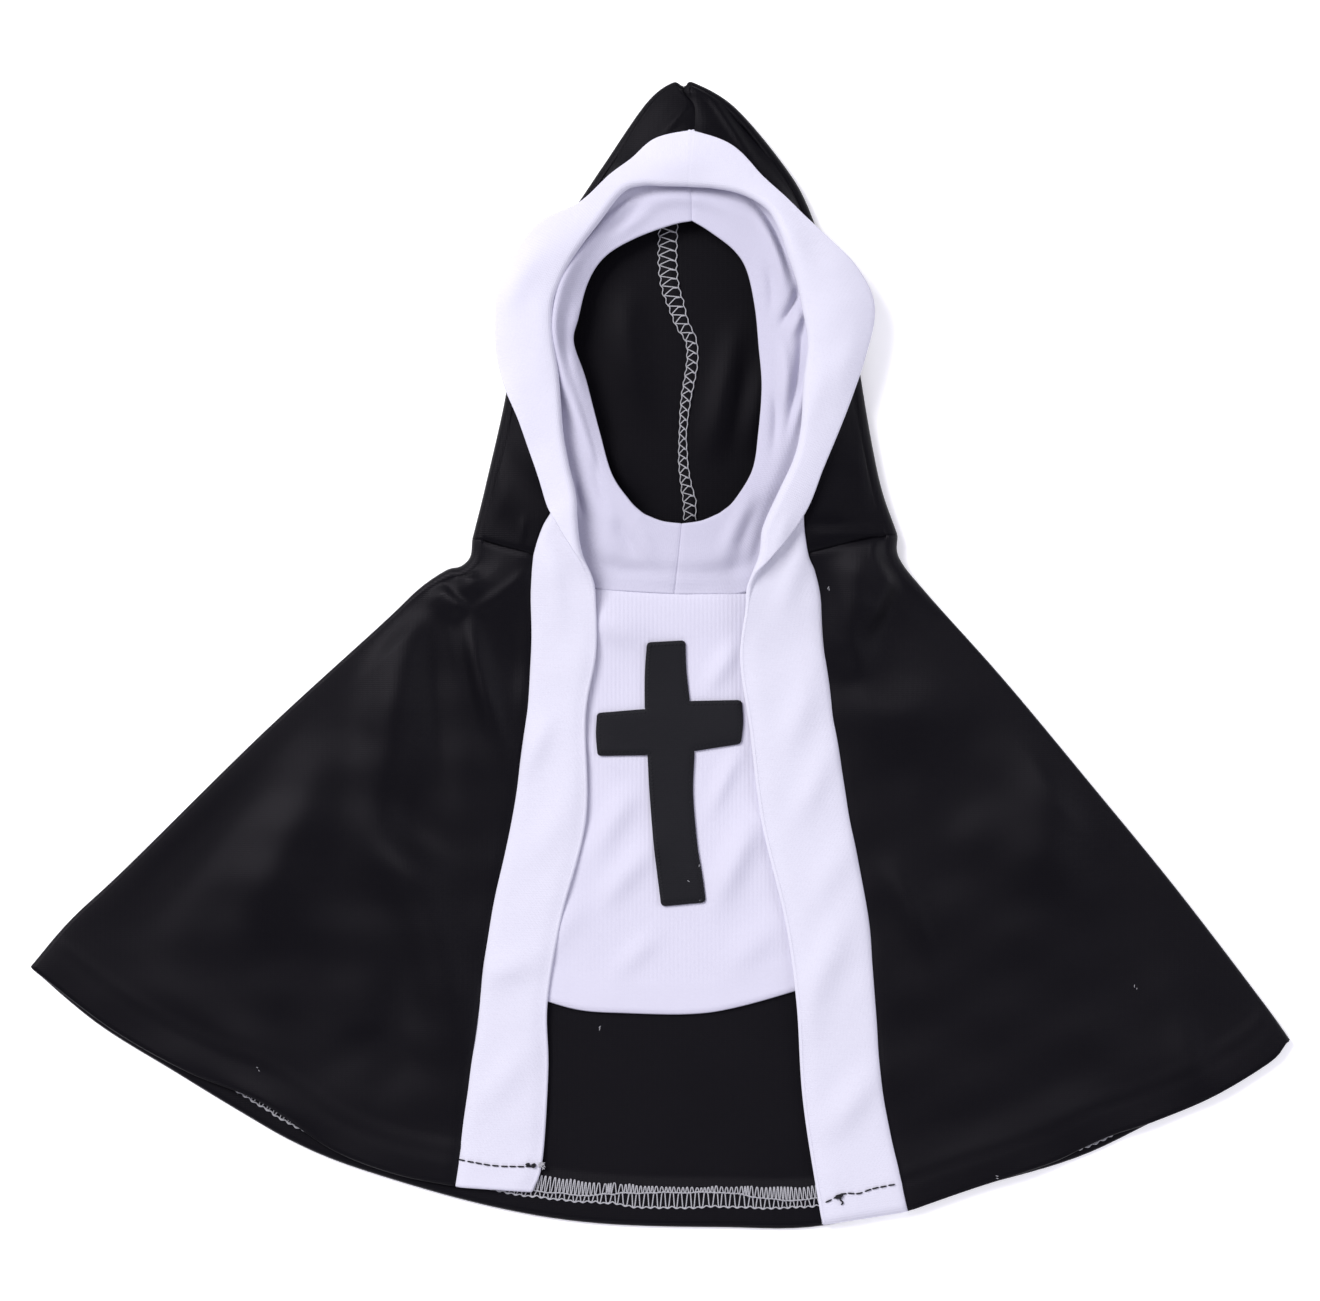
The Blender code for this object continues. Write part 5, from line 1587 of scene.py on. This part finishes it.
def thread_material(name, colour, shade, roughness):
    """Twisted thread, with painted shade in the grooves of its twist."""
    material, tree, shader = new_material(name)
    along_thread, round_thread, _ = place_in_knit(tree)
    along_turn, round_turn = THREAD_TWIST
    turn = math(tree, "MULTIPLY_ADD", along_thread, along_turn,
                math(tree, "MULTIPLY", round_thread, round_turn))
    twist = math(tree, "MULTIPLY_ADD", math(tree, "SINE", turn), 0.5, 0.5)
    patches = noise(tree, *THREAD_PATCHES)
    # Painted shade: the grooves of the twist take more of the darker shade colour
    share = math(tree, "MULTIPLY_ADD", twist, 0.5, math(tree, "MULTIPLY", patches, 0.5))
    dress(tree, shader, share, (shade, colour), twist, THREAD_BUMP,
          {"Roughness": roughness, "Specular IOR Level": THREAD_GLOSS})
    return material


# Studio

def studio():
    """A plain white table lit a little from below, world, lights and the view transform."""
    material, _, shader = new_material("floor_paper")
    for name, value in {"Base Color": FLOOR_COLOUR, "Roughness": FLOOR_ROUGHNESS,
                        "Emission Color": (1, 1, 1, 1), "Emission Strength": FLOOR_GLOW}.items():
        shader.inputs[name].default_value = value
    mesh = bpy.data.meshes.new("floor")
    corners = [(x * FLOOR_HALF, y * FLOOR_HALF, FLOOR_Z) for x, y in ((-1, -1), (1, -1), (1, 1), (-1, 1))]
    mesh.from_pydata(corners, [], [(0, 1, 2, 3)])
    mesh.materials.append(material)
    add_object("floor", mesh)

    world = bpy.data.worlds.new("studio")
    world.use_nodes = True
    background = world.node_tree.nodes["Background"]
    background.inputs["Color"].default_value = WORLD_COLOUR
    background.inputs["Strength"].default_value = WORLD_STRENGTH
    bpy.context.scene.world = world
    for name, (place, side, power, colour) in LIGHTS.items():
        data = bpy.data.lights.new(name, "AREA")
        data.energy = power
        data.size = side
        data.color = colour
        lamp = add_object(name, data)
        lamp.location = place
        lamp.rotation_euler = (-Vector(place)).to_track_quat("-Z", "Y").to_euler()
    bpy.context.scene.view_settings.view_transform = "Standard"


def camera():
    """Straight down on the middle of the garment, the peak of the hood at the top."""
    data = bpy.data.cameras.new("camera")
    data.sensor_width = SENSOR_WIDTH
    data.lens = SENSOR_WIDTH * (CAMERA_HEIGHT - VIEWED_HEIGHT) / VIEWED_WIDTH
    viewer = add_object("camera", data)
    viewer.location = (*VIEWED_MIDDLE, CAMERA_HEIGHT)
    bpy.context.scene.camera = viewer


# The garment

def sewing(cape_outer, left_top, right_top, cross_rim, cross_outward, materials):
    """All threads and the seam allowance, by the node whose cloth they are on."""
    white = materials["overlock_thread"]
    black = materials["black_thread"]
    surfaces = {"left_band": left_top, "cross": cross_rim,
                "left_front": cape_outer[:, :CAPE_FRONT_COLUMNS],
                "right_front": cape_outer[:, -CAPE_FRONT_COLUMNS:]}
    draw = np.random.default_rng(3)
    left_lines = stitch_run(LEFT_BAND_STITCH, left_top, draw)
    for spot in LEFT_TANGLES:
        left_lines += tangle(*spot, left_top, draw)
    right_lines = stitch_run(RIGHT_BAND_STITCH, right_top, draw)
    right_lines += tangle(*RIGHT_TANGLE, right_top, draw)
    right_lines.append(with_height(smooth_rows(RIGHT_TAIL, TAIL_POINTS), right_top, TAIL_LIFT))
    knot = tangle(*KNOT_TANGLE, left_top, draw)
    knot += loose_threads(*KNOT_ENDS, left_top, draw)
    lint = []
    for centre, count, length, surface in LINT:
        lint += loose_threads(centre, count, length, surfaces[surface], draw)
    hem = hem_overlock(white)
    allowance, hood_thread = hood_sewing(materials["black_knit"], white)
    left_stitches = thread("left_band_stitches", left_lines, BLACK_THREAD, black)
    right_stitches = thread("right_band_stitches", right_lines, BLACK_THREAD, black)
    white_knot = thread("white_knot", knot, KNOT_THREAD, white)
    return {
        "cape": [hem, thread("lint", lint, LINT_THREAD, white)],
        "hood_left": [allowance, hood_thread],
        "band_left": [left_stitches, white_knot],
        "band_right": [right_stitches],
        "cross": [cross_edge_stitches(cross_rim, cross_outward, black)],
    }


def garment():
    """Every cloth and thread of the costume."""
    materials = {knit.name: knit_material(knit) for knit in KNITS}
    for name, thread_look in THREADS.items():
        materials[name] = thread_material(name, *thread_look)
    white = materials["white_knit"]
    cape_piece, cape_outer = cape(materials["black_knit"])
    left_band, left_top = band("band_left_cloth", LEFT.band, white)
    right_band, right_top = band("band_right_cloth", RIGHT.band, white)
    cross_piece, cross_rim, cross_outward = cross(materials["cross_cloth"])
    pieces = {
        "cape": cape_piece,
        "hood_left": hood_half("hood_left_cloth", LEFT, materials["black_hood_painted_shade"]),
        "hood_right": hood_half("hood_right_cloth", RIGHT, materials["black_hood_painted_shade"]),
        "band_left": left_band,
        "band_right": right_band,
        "coif_left": coif_half("coif_left_cloth", LEFT, materials["white_single_painted_shade"]),
        "coif_right": coif_half("coif_right_cloth", RIGHT, materials["white_single_painted_shade"]),
        "bib": bib(materials["white_rib"]),
        "cross": cross_piece,
    }
    sewn = sewing(cape_outer, left_top, right_top, cross_rim, cross_outward, materials)
    for node, piece in pieces.items():
        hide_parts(node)


garment()
studio()
camera()
